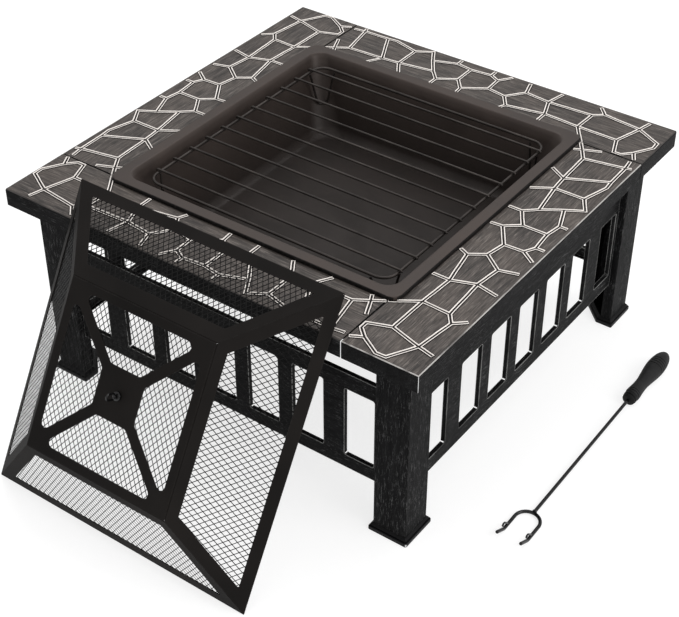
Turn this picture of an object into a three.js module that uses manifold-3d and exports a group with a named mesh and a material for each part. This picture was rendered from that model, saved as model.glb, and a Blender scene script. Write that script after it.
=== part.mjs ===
// Square steel fire pit table with a drop-in fire bowl, a cooking grate, a mesh spark lid
// and a poker.  Millimetres, +Z up.  The table stands on z = 0.  The lid leans against the
// front (-Y) edge of the table and the poker lies on the floor beside the right (+X) edge.
import * as THREE from 'three';
import { mergeVertices } from 'three/addons/utils/BufferGeometryUtils.js';
import { ConvexGeometry } from 'three/addons/geometries/ConvexGeometry.js';
import Module from 'manifold-3d';

const wasm = await Module();
wasm.setup();

// ---------------------------------------------------------------- driving dimensions

const SHEET = 1.5; // thickness of every pressed sheet
const FIT_GAP = 0.3; // clearance left between pieces that touch

const TABLE_SIDE = 812.8;
const TABLE_HEIGHT = 386;
const LIP_DEPTH = 31; // folded edge round the outside of the top
const PANEL_WIDTH = 133.4; // from the outer edge to the edge of the bowl opening
const PANEL_SEAM = 1.2; // open joint between two neighbouring panels
const OPENING_FLANGE = 12; // folded edge round the bowl opening
const TOOL_EXTRA = 5; // how far a cutting block reaches past what it cuts

const LEG_OUTER = 372; // from the table centre to the outer faces of a leg
const LEG_FACE = 61; // width of each of the two outer faces
const LEG_RETURN = 20; // depth of the folded edge along each face
const CAP_HEIGHT = 14;
const CAP_RIM_HEIGHT = 8;
const CAP_FLOOR = 3;
const CAP_RIM_STEP = 6; // how far the lower rim stands out from the leg
const CAP_NECK_STEP = 3.5; // how far the neck above it stands out
const CAP_NECK_START = 3; // height at which the neck starts, inside the rim

const APRON_FACE = 360; // from the table centre to the outer face of an apron
const APRON_DEPTH = 8; // depth of the folded edges behind the face
const APRON_BOTTOM = 90;
const APRON_TOP = 283;
const WINDOW_BOTTOM = 116;
const WINDOW_TOP = 252;
const WINDOW_WIDTH = 60;
const WINDOW_PITCH = 88;
const WINDOW_CORNER = 4;
const NOTCH_WIDTH = 1.8; // relief cut between two folded edges at a corner of a window
const WINDOWS_EACH_WAY = 2; // full windows on each side of the middle one
const OUTER_SLAT = 40;
const APRON_END_STRIP = 8.7;

const BRACKET_THICK = 2;
const BRACKET_INSET = 10; // from the outer edge of the table
const BRACKET_SHORT = 110;
const BRACKET_LONG = 164;

const RIM_HALF = 288; // half the width of the bowl over its rim
const RIM_CORNER = 20;
const RIM_RISE = 6.8; // from the table top to the face of the rim
const BOWL_DEPTH = 130; // from the table top to the floor of the bowl
const BOWL_CORNER_STEPS = 6;
const BOWL_MIDDLE = [1, 0.4]; // half width and corner radius of the patch that closes each face
// Outer and inner skins of the pan: half width, corner radius, height above its floor.
const BOWL_FLOOR_OUTSIDE = [[204, 52, -SHEET], [218, 48, 2], [226, 45, 10]];
const BOWL_FLOOR_INSIDE = [[203.6, 50, 0], [216.6, 46, 3.3], [224.4, 43, 10.6]];
// The same below the two faces of the rim: half width, corner radius, depth below that face.
const BOWL_MOUTH_OUTSIDE = [[264.2, 27, 8], [266.4, 25.5, 2.6], [269, 24.5, 0]];
const BOWL_MOUTH_INSIDE = [[262.4, 25.5, 9.5], [264.6, 24, 3], [267.6, 23, 0]];

const GRATE_HALF = 241.5; // from the centre to the middle of the frame wire
const GRATE_BELOW_TOP = 7; // middle of the frame wire below the table top
const GRATE_CORNER = 25;
const FRAME_WIRE = 2.5; // radius
const CROSS_WIRE = 2; // radius
const CROSS_WIRE_COUNT = 11;
const CROSS_WIRE_PITCH = 42.3;
const CROSS_WIRE_BEND = 4; // radius of the turned-down ends
const CROSS_WIRE_PAST = 1.5; // how far the bend starts outside the middle of the frame wire
const FOOT_WIRE = 2; // radius
const FOOT_DIAGONAL = 318.5; // from the middle of the grate to a foot, along the diagonal
const FOOT_STAND_HALF = 9; // half the width of the bend a foot stands on
const FOOT_BEND = 5; // size of the bevelled bends in a foot
const WIRE_SIDES = 8;

const LID_BASE = 514; // side of the open square base
const LID_PLATE = 277.4; // side of the flat top plate
const LID_DEPTH = 104;
const LID_LEAN = THREE.MathUtils.degToRad(59.8); // base plane above the floor
const LID_STRIP = 20; // width of the sheet strips round each side window
const LID_UPPER_STRIP = 27; // between the upper side's window and the plate
const MESH_THICK = 0.8;
const LID_TABLE_GAP = 0.5;
const CUTOUT_OUTER = 124.5; // from the plate centre to the outer edge of a cut-out
const CUTOUT_INNER = 41.5; // from the plate centre to the edge of the hub
const CUTOUT_CORNER = 8;
const ARM_OFFSET = 12.5; // half the width of a diagonal arm, measured along an edge
const SIDE_MESH_MARGIN = 9; // how far a mesh stays clear of the hips
const SIDE_MESH_BOTTOM = 6; // height above the base plane
const SIDE_MESH_TOP = 97;
const PLATE_MESH_MARGIN = 6;

const STEM = 3; // radius of the stem of the lifting eye
const STEM_BELOW = 14; // from the plate top down to the end of the stem
const EYE_STANDOFF = 8; // from the plate top to the loop
const EYE_ROD = 1.7; // radius
const EYE_BEND = 5; // radius of both round ends of the loop
const EYE_STRAIGHT = 8;
const COLLAR_RADIUS = 7.5;
const COLLAR_HEIGHT = 5;
const COLLAR_BEVEL = 1.5;
const NUT_RADIUS = 5.8;
const NUT_HEIGHT = 5;

const POKER_X = 503.2;
const POKER_TIP_Y = -277;
const POKER_TILT = THREE.MathUtils.degToRad(1.64); // the thick handle lifts that end
const POKER_ROD = 3; // radius
const FORK_HALF = 21.5; // from the middle of the fork to the middle of a tine
const FORK_LENGTH = 82;
const TINE_TIP = 23; // straight length of the upturned tip
const TINE_HOOK = 12; // radius of the bend behind it
const TINE_TURN = 29; // degrees that the tip turns up
const BARB_FROM_TIP = 33; // to the foot of the small hook on each tine
const BARB_ROD = 1.6; // radius
const BARB_LEAN = 45; // degrees from the tine, towards its tip
const BARB_STRAIGHT = 11;
const BARB_BEND = 4.2; // radius
const BARB_TURN = 130; // degrees
const SHAFT_LENGTH = 321;
const TURNED_SIDES = 24;
const STEM_SIDES = 12;
const NUT_SIDES = 6;
const SMALL_BEND_STEPS = 3; // flat steps round a bend
const BEND_STEPS = 8;
const FORK_BEND_STEPS = 12;
// Turned profiles along the poker: radius and distance from the fork end.
const FERRULE_PROFILE = [
  [0, 0], [9, 0], [11.5, 2], [11.5, 4.5], [10.5, 5.5], [12.5, 7], [12.5, 10], [11.5, 12], [0, 12],
];
const HANDLE_PROFILE = [
  [0, 0], [12.2, 0], [13.4, 5], [12.8, 14], [11.6, 30], [11.6, 42], [12.6, 52], [14.4, 66],
  [16.1, 80], [16.7, 91], [16.4, 102], [15.1, 113], [12.8, 123], [9, 131], [4.5, 135.7], [0, 137],
];

// worked-out values
const HALF = TABLE_SIDE / 2;
const OPENING_HALF = HALF - PANEL_WIDTH;
const SIDES = ['front', 'right', 'back', 'left'];
const CORNERS = ['front_left', 'front_right', 'back_right', 'back_left'];
const UP = new THREE.Vector3(0, 0, 1);
const RIM_FACE = TABLE_HEIGHT + RIM_RISE;
const RIM_UNDERSIDE = RIM_FACE - SHEET;
const RIM_FOOT = TABLE_HEIGHT + FIT_GAP;
const BOWL_FLOOR = TABLE_HEIGHT - BOWL_DEPTH;
const GRATE_Z = TABLE_HEIGHT - GRATE_BELOW_TOP;
const LID_RUN = (LID_BASE - LID_PLATE) / 2;
const LID_SLANT = Math.hypot(LID_RUN, LID_DEPTH);
const PLATE_MESH_TOP = LID_DEPTH - SHEET - FIT_GAP;
const TIP_RISE = slanted(TINE_TIP, TINE_TURN);
const BARB_ARM = slanted(BARB_STRAIGHT, BARB_LEAN);
const TINE_BEND_AT = TIP_RISE.along + slanted(TINE_HOOK, TINE_TURN).up; // from the tip

const FINISHES = {
  stamped_top: { color: 0x3b3733, roughness: 0.55, metalness: 0.6 },
  brushed_black: { color: 0x1a1a1b, roughness: 0.5, metalness: 0.5 },
  cap_black: { color: 0x0e0e0f, roughness: 0.6, metalness: 0.1 },
  bowl_bronze: { color: 0x3a302b, roughness: 0.5, metalness: 0.6 },
  grate_wire: { color: 0x2a2522, roughness: 0.4, metalness: 0.8 },
  lid_black: { color: 0x242122, roughness: 0.55, metalness: 0.3 },
  lid_mesh: { color: 0x1c1a1a, roughness: 0.6, metalness: 0.5 },
  poker_steel: { color: 0x1d1d1e, roughness: 0.35, metalness: 0.7 },
  handle_black: { color: 0x161616, roughness: 0.7, metalness: 0.0 },
};

// ---------------------------------------------------------------- solid helpers

// A closed geometry as a solid that can be joined and cut.
function solidOf(geometry) {
  geometry.deleteAttribute('normal');
  geometry.deleteAttribute('uv');
  const merged = mergeVertices(geometry, 1e-4);
  const vertProperties = new Float32Array(merged.attributes.position.array);
  const triVerts = new Uint32Array(merged.index.array);
  return new wasm.Manifold(new wasm.Mesh({ numProp: 3, vertProperties, triVerts }));
}

// The geometry of a solid.
function geometryOf(solid) {
  const mesh = solid.getMesh();
  const geometry = new THREE.BufferGeometry();
  geometry.setAttribute('position', new THREE.BufferAttribute(mesh.vertProperties, 3));
  geometry.setIndex(new THREE.BufferAttribute(mesh.triVerts, 1));
  geometry.computeVertexNormals();
  return geometry;
}

function join(solids) {
  return solids.reduce((total, next) => total.add(next));
}

function cut(solid, tools) {
  return tools.reduce((left, tool) => left.subtract(tool), solid);
}

// A box between two opposite corners.
function block(low, high) {
  const size = high.map((value, axis) => value - low[axis]);
  const middle = high.map((value, axis) => (value + low[axis]) / 2);
  const geometry = new THREE.BoxGeometry(...size);
  geometry.translate(...middle);
  return geometry;
}

// A flat outline pushed up from one height to another.
function prism(outline, bottom, top, holes = []) {
  const shape = new THREE.Shape(outline);
  shape.holes = holes.map((hole) => new THREE.Path(hole));
  const geometry = new THREE.ExtrudeGeometry(shape, { depth: top - bottom, bevelEnabled: false });
  geometry.translate(0, 0, bottom);
  return geometry;
}

// Points round a rectangle or any other polygon, with each corner rounded by a short arc.
function roundedOutline(corners, radius, steps) {
  const points = [];
  corners.forEach((corner, i) => {
    const before = corners[(i + corners.length - 1) % corners.length];
    const after = corners[(i + 1) % corners.length];
    const towardsBefore = before.clone().sub(corner).normalize();
    const towardsAfter = after.clone().sub(corner).normalize();
    const halfAngle = Math.acos(towardsBefore.dot(towardsAfter)) / 2;
    const start = towardsBefore.clone().multiplyScalar(radius / Math.tan(halfAngle)).add(corner);
    const middle = towardsBefore.clone().add(towardsAfter).normalize();
    middle.multiplyScalar(radius / Math.sin(halfAngle)).add(corner);
    const turn = Math.sign(towardsAfter.cross(towardsBefore)) * (Math.PI - 2 * halfAngle);
    const arm = start.sub(middle);
    for (let step = 0; step <= steps; step += 1) {
      const spoke = arm.clone().rotateAround(new THREE.Vector2(0, 0), (turn * step) / steps);
      points.push(spoke.add(middle));
    }
  });
  return points;
}

function rectangle(left, bottom, right, top) {
  return [
    new THREE.Vector2(left, bottom),
    new THREE.Vector2(right, bottom),
    new THREE.Vector2(right, top),
    new THREE.Vector2(left, top),
  ];
}

function circle(radius, steps) {
  const spoke = (i) => (2 * Math.PI * i) / steps;
  return Array.from({ length: steps }, (_, i) => {
    return new THREE.Vector2(radius * Math.cos(spoke(i)), radius * Math.sin(spoke(i)));
  });
}

// Joins rings of equal length into a skin, and closes it at the ends or back onto itself.
function skinOfRings(rings, closed) {
  const around = rings[0].length;
  const positions = rings.flat().flatMap((point) => [point.x, point.y, point.z]);
  const index = [];
  const bands = closed ? rings.length : rings.length - 1;
  for (let band = 0; band < bands; band += 1) {
    const low = band * around;
    const high = ((band + 1) % rings.length) * around;
    for (let i = 0; i < around; i += 1) {
      const next = (i + 1) % around;
      index.push(low + i, low + next, high + next);
      index.push(low + i, high + next, high + i);
    }
  }
  if (!closed) {
    const last = (rings.length - 1) * around;
    for (let i = 1; i < around - 1; i += 1) {
      index.push(0, i + 1, i);
      index.push(last, last + i, last + i + 1);
    }
  }
  const geometry = new THREE.BufferGeometry();
  geometry.setAttribute('position', new THREE.Float32BufferAttribute(positions, 3));
  geometry.setIndex(index);
  geometry.computeVertexNormals();
  return geometry;
}

// A round wire along points.  The first normal is square to the start of the wire.
function wire(points, firstNormal, radius, closed = false) {
  const count = points.length;
  const normal = firstNormal.clone();
  const rings = points.map((point, i) => {
    const before = points[closed ? (i + count - 1) % count : Math.max(i - 1, 0)];
    const after = points[closed ? (i + 1) % count : Math.min(i + 1, count - 1)];
    const along = after.clone().sub(before).normalize();
    normal.addScaledVector(along, -normal.dot(along)).normalize();
    const across = along.clone().cross(normal);
    return circle(radius, WIRE_SIDES).map((spoke) => {
      const offset = normal.clone().multiplyScalar(spoke.x);
      return offset.addScaledVector(across, spoke.y).add(point);
    });
  });
  return skinOfRings(rings, closed);
}

// An arc in the plane of two perpendicular unit vectors.
function arc(centre, radius, axisA, axisB, fromDegrees, toDegrees, steps) {
  return Array.from({ length: steps + 1 }, (_, i) => {
    const angle = THREE.MathUtils.degToRad(fromDegrees + ((toDegrees - fromDegrees) * i) / steps);
    const point = centre.clone().addScaledVector(axisA, radius * Math.cos(angle));
    return point.addScaledVector(axisB, radius * Math.sin(angle));
  });
}

function vector(x, y, z) {
  return new THREE.Vector3(x, y, z);
}

// How far a slanted line goes along and up.
function slanted(length, degrees) {
  const angle = THREE.MathUtils.degToRad(degrees);
  return { along: length * Math.cos(angle), up: length * Math.sin(angle) };
}

function piece(name, geometry, finish) {
  const mesh = new THREE.Mesh(geometry, new THREE.MeshStandardMaterial(FINISHES[finish]));
  mesh.name = name;
  return mesh;
}

// Four copies of a piece, one for each side or corner of the square table.
function quarterTurned(names, geometry, finish) {
  return names.map((name, turn) => {
    const mesh = piece(name, geometry.clone(), finish);
    mesh.rotation.z = (turn * Math.PI) / 2;
    return mesh;
  });
}

// ---------------------------------------------------------------- table

// One strip of the top: a sheet with a deep lip outside and a short flange at the opening.
// It owns the corner at its left end and stops at the next strip.
function topPanel() {
  const top = TABLE_HEIGHT;
  const under = top - SHEET;
  const lipBottom = top - LIP_DEPTH;
  const flangeBottom = top - OPENING_FLANGE;
  const inner = -OPENING_HALF;
  const farEnd = OPENING_HALF - PANEL_SEAM;
  const flangeStart = inner + PANEL_SEAM;
  const flangeEnd = farEnd - 2 * SHEET;
  const start = -HALF + SHEET;
  const below = lipBottom - TOOL_EXTRA;
  const pastEnd = farEnd + TOOL_EXTRA;
  const pastInner = inner + TOOL_EXTRA;
  const beforeInner = inner - TOOL_EXTRA;
  const slab = block([-HALF, -HALF, lipBottom], [farEnd, inner, top]);
  const tools = [
    block([start, start, below], [pastEnd, inner - SHEET, under]),
    block([start, beforeInner, below], [flangeStart, pastInner, under]),
    block([start, beforeInner, below], [pastEnd, pastInner, flangeBottom]),
    block([flangeEnd, beforeInner, below], [pastEnd, pastInner, under]),
  ];
  return geometryOf(cut(solidOf(slab), tools.map(solidOf)));
}

// A plate under each corner of the top, across the joint of two strips and over the leg.
function cornerBracket() {
  const start = -HALF + BRACKET_INSET;
  const top = TABLE_HEIGHT - SHEET - FIT_GAP;
  return block(
    [start, start, top - BRACKET_THICK],
    [start + BRACKET_SHORT, start + BRACKET_LONG, top],
  );
}

// A corner post folded from one sheet: two outer faces, each with a folded inner edge.
function leg() {
  const corner = -LEG_OUTER;
  const wide = LEG_FACE;
  const deep = LEG_RETURN;
  const section = [
    [0, 0], [wide, 0], [wide, deep], [wide - SHEET, deep], [wide - SHEET, SHEET],
    [SHEET, SHEET], [SHEET, wide - SHEET], [deep, wide - SHEET], [deep, wide], [0, wide],
  ].map(([x, y]) => new THREE.Vector2(corner + x, corner + y));
  const bottom = CAP_FLOOR + FIT_GAP;
  const top = TABLE_HEIGHT - SHEET - BRACKET_THICK - 2 * FIT_GAP;
  return prism(section, bottom, top);
}

// Outline of the cap at a given distance outside the leg, with its inner corner cut off.
function capOutline(step) {
  const corner = -LEG_OUTER;
  const end = LEG_FACE + step;
  const shoulder = LEG_RETURN + step;
  return [
    [-step, -step], [end, -step], [end, shoulder], [shoulder, end], [-step, end],
  ].map(([x, y]) => new THREE.Vector2(corner + x, corner + y));
}

function footCap() {
  const rim = prism(capOutline(CAP_RIM_STEP), 0, CAP_RIM_HEIGHT);
  const neck = prism(capOutline(CAP_NECK_STEP), CAP_NECK_START, CAP_HEIGHT);
  const socket = prism(capOutline(FIT_GAP), CAP_FLOOR, CAP_HEIGHT + CAP_FLOOR);
  return geometryOf(cut(join([rim, neck].map(solidOf)), [solidOf(socket)]));
}

// Left and right edges of every window in an apron.
function windowSpans() {
  const spans = [];
  for (let i = -WINDOWS_EACH_WAY; i <= WINDOWS_EACH_WAY; i += 1) {
    const middle = i * WINDOW_PITCH;
    spans.push([middle - WINDOW_WIDTH / 2, middle + WINDOW_WIDTH / 2]);
  }
  const outerStart = WINDOWS_EACH_WAY * WINDOW_PITCH + WINDOW_WIDTH / 2 + OUTER_SLAT;
  const outerEnd = LEG_OUTER - LEG_FACE - FIT_GAP - APRON_END_STRIP;
  spans.push([outerStart, outerEnd], [-outerEnd, -outerStart]);
  return spans;
}

// A cut through the folded edges at one corner of a window.  The signs say which corner.
function cornerNotch(x, y, signX, signY) {
  const centre = new THREE.Vector2(x - signX * WINDOW_CORNER, y - signY * WINDOW_CORNER);
  const outwards = new THREE.Vector2(signX, signY).normalize();
  const across = new THREE.Vector2(-outwards.y, outwards.x).multiplyScalar(NOTCH_WIDTH / 2);
  const start = centre.clone().addScaledVector(outwards, WINDOW_CORNER - SHEET);
  const end = centre.clone().addScaledVector(outwards, WINDOW_CORNER + 2 * SHEET);
  const outline = [
    start.clone().sub(across),
    end.clone().sub(across),
    end.clone().add(across),
    start.clone().add(across),
  ];
  return solidOf(prism(outline, -1, APRON_DEPTH - SHEET - FIT_GAP));
}

function windowNotches([left, right]) {
  return [[left, -1], [right, 1]].flatMap(([x, signX]) => [
    cornerNotch(x, WINDOW_BOTTOM, signX, -1),
    cornerNotch(x, WINDOW_TOP, signX, 1),
  ]);
}

// A pressed panel between two legs: a row of windows, every edge folded inwards.
function apron() {
  const end = LEG_OUTER - LEG_FACE - FIT_GAP;
  const steps = 3;
  const grown = (span, extra) => rectangle(
    span[0] - extra,
    WINDOW_BOTTOM - extra,
    span[1] + extra,
    WINDOW_TOP + extra,
  );
  const through = windowSpans().map((span) => {
    const outline = roundedOutline(grown(span, 0), WINDOW_CORNER, steps);
    return solidOf(prism(outline, -1, APRON_DEPTH + 1));
  });
  const folds = windowSpans().map((span) => {
    const outline = roundedOutline(grown(span, SHEET), WINDOW_CORNER + SHEET, steps);
    return solidOf(prism(outline, 0, APRON_DEPTH));
  });
  const slab = solidOf(block([-end, APRON_BOTTOM, 0], [end, APRON_TOP, APRON_DEPTH]));
  const hollow = solidOf(block(
    [-end + SHEET, APRON_BOTTOM + SHEET, -1],
    [end - SHEET, APRON_TOP - SHEET, APRON_DEPTH - SHEET],
  ));
  const shell = join([cut(slab, [hollow]), ...folds]);
  const notches = windowSpans().flatMap(windowNotches);
  const geometry = geometryOf(cut(shell, [...through, ...notches]));
  geometry.rotateX(Math.PI / 2);
  geometry.translate(0, -APRON_FACE + APRON_DEPTH, 0);
  return geometry;
}

function table() {
  const group = new THREE.Group();
  const named = (names, suffix) => names.map((name) => `${suffix}_${name}`);
  group.add(...quarterTurned(named(SIDES, 'top_panel'), topPanel(), 'stamped_top'));
  group.add(...quarterTurned(named(CORNERS, 'corner_bracket'), cornerBracket(), 'brushed_black'));
  group.add(...quarterTurned(named(CORNERS, 'leg'), leg(), 'brushed_black'));
  group.add(...quarterTurned(named(CORNERS, 'foot_cap'), footCap(), 'cap_black'));
  group.add(...quarterTurned(named(SIDES, 'apron'), apron(), 'brushed_black'));
  return group;
}

// ---------------------------------------------------------------- bowl

// A square ring of points with rounded corners at one height.
function squareRing(half, radius, height) {
  const corners = rectangle(-half, -half, half, half);
  return roundedOutline(corners, radius, BOWL_CORNER_STEPS).map((p) => vector(p.x, p.y, height));
}

// A pressed square pan hanging in the top by its flat rim, whose edge is turned down.
function bowl() {
  const above = (rows) => rows.map(([half, corner, height]) => [half, corner, BOWL_FLOOR + height]);
  const below = (rows, face) => rows.map(([half, corner, depth]) => [half, corner, face - depth]);
  const rings = [
    [...BOWL_MIDDLE, BOWL_FLOOR - SHEET],
    ...above(BOWL_FLOOR_OUTSIDE),
    ...below(BOWL_MOUTH_OUTSIDE, RIM_UNDERSIDE),
    [RIM_HALF - SHEET, RIM_CORNER - SHEET, RIM_UNDERSIDE],
    [RIM_HALF - SHEET, RIM_CORNER - SHEET, RIM_FOOT],
    [RIM_HALF, RIM_CORNER, RIM_FOOT],
    [RIM_HALF, RIM_CORNER, RIM_FACE],
    ...below(BOWL_MOUTH_INSIDE, RIM_FACE).reverse(),
    ...above(BOWL_FLOOR_INSIDE).reverse(),
    [...BOWL_MIDDLE, BOWL_FLOOR],
  ];
  return skinOfRings(rings.map(([half, corner, height]) => squareRing(half, corner, height)), false);
}

// ---------------------------------------------------------------- grate

function grateFrame() {
  const corners = rectangle(-GRATE_HALF, -GRATE_HALF, GRATE_HALF, GRATE_HALF);
  const path = roundedOutline(corners, GRATE_CORNER, BEND_STEPS).map((p) => vector(p.x, p.y, GRATE_Z));
  return wire(path, UP, FRAME_WIRE, true);
}

// A straight wire lying across the frame, with both ends turned down outside it.
function crossWire(y) {
  const height = GRATE_Z + FRAME_WIRE + FIT_GAP + CROSS_WIRE;
  const along = vector(1, 0, 0);
  const centre = vector(GRATE_HALF + CROSS_WIRE_PAST, y, height - CROSS_WIRE_BEND);
  const rightEnd = arc(centre, CROSS_WIRE_BEND, along, UP, 90, 15, SMALL_BEND_STEPS);
  const leftEnd = rightEnd.map((p) => vector(-p.x, p.y, p.z)).reverse();
  return wire([...leftEnd, ...rightEnd], vector(0, 1, 0), CROSS_WIRE);
}

// Height at which a foot of the grate meets the sloping wall in a corner of the bowl.
function footHeight() {
  const reach = (half, corner) => {
    return (half - corner) * Math.SQRT2 + Math.sqrt(corner ** 2 - FOOT_STAND_HALF ** 2);
  };
  const [lowHalf, lowCorner, lowHeight] = BOWL_FLOOR_INSIDE.at(-1);
  const [highHalf, highCorner, highDepth] = BOWL_MOUTH_INSIDE[0];
  const bottom = BOWL_FLOOR + lowHeight;
  const rise = RIM_FACE - highDepth - bottom;
  const run = reach(highHalf, highCorner) - reach(lowHalf, lowCorner);
  const clearance = ((FOOT_WIRE + 2 * FIT_GAP) * Math.hypot(run, rise)) / rise;
  const wallReach = FOOT_DIAGONAL + clearance;
  return bottom + ((wallReach - reach(lowHalf, lowCorner)) * rise) / run;
}

// A bent wire under one corner of the frame that stands on the sloping wall of the bowl.
function grateFoot() {
  const diagonal = vector(-1, -1, 0).normalize();
  const along = vector(1, -1, 0).normalize();
  const top = GRATE_Z - FRAME_WIRE - FIT_GAP - FOOT_WIRE;
  const bottom = footHeight();
  const weldHalf = GRATE_HALF * Math.SQRT2 - FOOT_DIAGONAL;
  const half = [
    [weldHalf, top],
    [weldHalf - FOOT_BEND, top - FOOT_BEND],
    [FOOT_STAND_HALF, bottom + FOOT_BEND],
    [FOOT_STAND_HALF - FOOT_BEND, bottom],
  ];
  const otherHalf = half.map(([spread, height]) => [-spread, height]).reverse();
  const path = [...half, ...otherHalf].map(([spread, height]) => {
    const point = diagonal.clone().multiplyScalar(FOOT_DIAGONAL);
    return point.addScaledVector(along, spread).setZ(height);
  });
  return wire(path, diagonal, FOOT_WIRE);
}

function grate() {
  const group = new THREE.Group();
  group.add(piece('grate_frame', grateFrame(), 'grate_wire'));
  for (let i = 0; i < CROSS_WIRE_COUNT; i += 1) {
    const y = (i - (CROSS_WIRE_COUNT - 1) / 2) * CROSS_WIRE_PITCH;
    const number = String(i + 1).padStart(2, '0');
    group.add(piece(`grate_wire_${number}`, crossWire(y), 'grate_wire'));
  }
  const names = CORNERS.map((name) => `grate_foot_${name}`);
  group.add(...quarterTurned(names, grateFoot(), 'grate_wire'));
  return group;
}

// ---------------------------------------------------------------- lid

// Half the width of the lid at a height above its base, at a depth below its outer faces.
function lidHalf(height, depth) {
  return LID_BASE / 2 - (LID_RUN * height) / LID_DEPTH - (depth * LID_SLANT) / LID_DEPTH;
}

// A flat four-sided plate on the front slope, between two depths below its outer face.
function slopePlate(bottom, top, outerDepth, innerDepth, endMargin) {
  const points = [];
  [bottom, top].forEach((height) => {
    [outerDepth, innerDepth].forEach((depth) => {
      const half = lidHalf(height, depth);
      points.push(vector(-half + endMargin, -half, height));
      points.push(vector(half - endMargin, -half, height));
    });
  });
  return new ConvexGeometry(points);
}

// One sloping side of the lid: a sheet with a large window, whose strip at the plate has its
// own width.
function lidSideFrame(plateStrip) {
  const sheet = solidOf(slopePlate(0, PLATE_MESH_TOP, 0, SHEET, FIT_GAP));
  const rise = LID_DEPTH / LID_SLANT;
  const hipMargin = LID_STRIP * Math.hypot(1, LID_RUN / LID_SLANT);
  const low = LID_STRIP * rise;
  const high = LID_DEPTH - plateStrip * rise;
  const window = [
    new THREE.Vector2(-lidHalf(low, 0) + hipMargin, LID_STRIP),
    new THREE.Vector2(lidHalf(low, 0) - hipMargin, LID_STRIP),
    new THREE.Vector2(lidHalf(high, 0) - hipMargin, LID_SLANT - plateStrip),
    new THREE.Vector2(-lidHalf(high, 0) + hipMargin, LID_SLANT - plateStrip),
  ];
  const tool = prism(roundedOutline(window, SHEET, SMALL_BEND_STEPS), -2 * SHEET, SHEET);
  tool.rotateX(Math.atan2(LID_DEPTH, LID_RUN));
  tool.translate(0, -LID_BASE / 2, 0);
  return geometryOf(cut(sheet, [solidOf(tool)]));
}

// The sheet of wire mesh behind a side window.
function lidSideMesh() {
  const outer = SHEET + FIT_GAP;
  return slopePlate(SIDE_MESH_BOTTOM, SIDE_MESH_TOP, outer, outer + MESH_THICK, SIDE_MESH_MARGIN);
}

// The four-sided cut-out below the hub, between two diagonal arms.
function plateCutout() {
  const wide = CUTOUT_OUTER - ARM_OFFSET;
  const narrow = CUTOUT_INNER - ARM_OFFSET;
  const corners = [
    new THREE.Vector2(-wide, -CUTOUT_OUTER),
    new THREE.Vector2(wide, -CUTOUT_OUTER),
    new THREE.Vector2(narrow, -CUTOUT_INNER),
    new THREE.Vector2(-narrow, -CUTOUT_INNER),
  ];
  return roundedOutline(corners, CUTOUT_CORNER, SMALL_BEND_STEPS);
}

const STEM_HOLE = circle(STEM + FIT_GAP, STEM_SIDES);

// The flat top: a square border, four diagonal arms and a hub with a hole for the eye.
function lidPlate() {
  const half = LID_PLATE / 2;
  const holes = [STEM_HOLE];
  for (let turn = 0; turn < 4; turn += 1) {
    const centre = new THREE.Vector2(0, 0);
    holes.push(plateCutout().map((point) => point.rotateAround(centre, (turn * Math.PI) / 2)));
  }
  return prism(rectangle(-half, -half, half, half), LID_DEPTH - SHEET, LID_DEPTH, holes);
}

function lidPlateMesh() {
  const half = LID_PLATE / 2 - PLATE_MESH_MARGIN;
  const outline = rectangle(-half, -half, half, half);
  return prism(outline, PLATE_MESH_TOP - MESH_THICK, PLATE_MESH_TOP, [STEM_HOLE]);
}

// A rod bent into a long eye on a stem that passes through the hub.
function liftingEye() {
  const stemTop = LID_DEPTH + EYE_STANDOFF;
  const across = vector(0, 1, 0);
  const low = vector(0, 0, stemTop + EYE_BEND);
  const high = vector(0, 0, stemTop + EYE_BEND + EYE_STRAIGHT);
  const path = [
    ...arc(high, EYE_BEND, across, UP, 0, 180, BEND_STEPS),
    ...arc(low, EYE_BEND, across, UP, 180, 360, BEND_STEPS),
  ];
  const loop = wire(path, vector(1, 0, 0), EYE_ROD, true);
  const stem = prism(circle(STEM, STEM_SIDES), LID_DEPTH - STEM_BELOW, stemTop + EYE_ROD);
  return geometryOf(join([loop, stem].map(solidOf)));
}

function eyeCollar() {
  const bottom = LID_DEPTH + FIT_GAP;
  const top = bottom + COLLAR_HEIGHT;
  const bore = STEM + FIT_GAP;
  const profile = [
    [bore, bottom],
    [COLLAR_RADIUS, bottom],
    [COLLAR_RADIUS, top - COLLAR_BEVEL],
    [COLLAR_RADIUS - COLLAR_BEVEL, top],
    [bore, top],
    [bore, bottom],
  ].map(([radius, height]) => new THREE.Vector2(radius, height));
  const geometry = new THREE.LatheGeometry(profile, TURNED_SIDES);
  geometry.rotateX(Math.PI / 2);
  return geometryOf(solidOf(geometry));
}

function eyeNut() {
  const top = PLATE_MESH_TOP - MESH_THICK - FIT_GAP;
  return prism(circle(NUT_RADIUS, NUT_SIDES), top - NUT_HEIGHT, top, [STEM_HOLE]);
}

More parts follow.
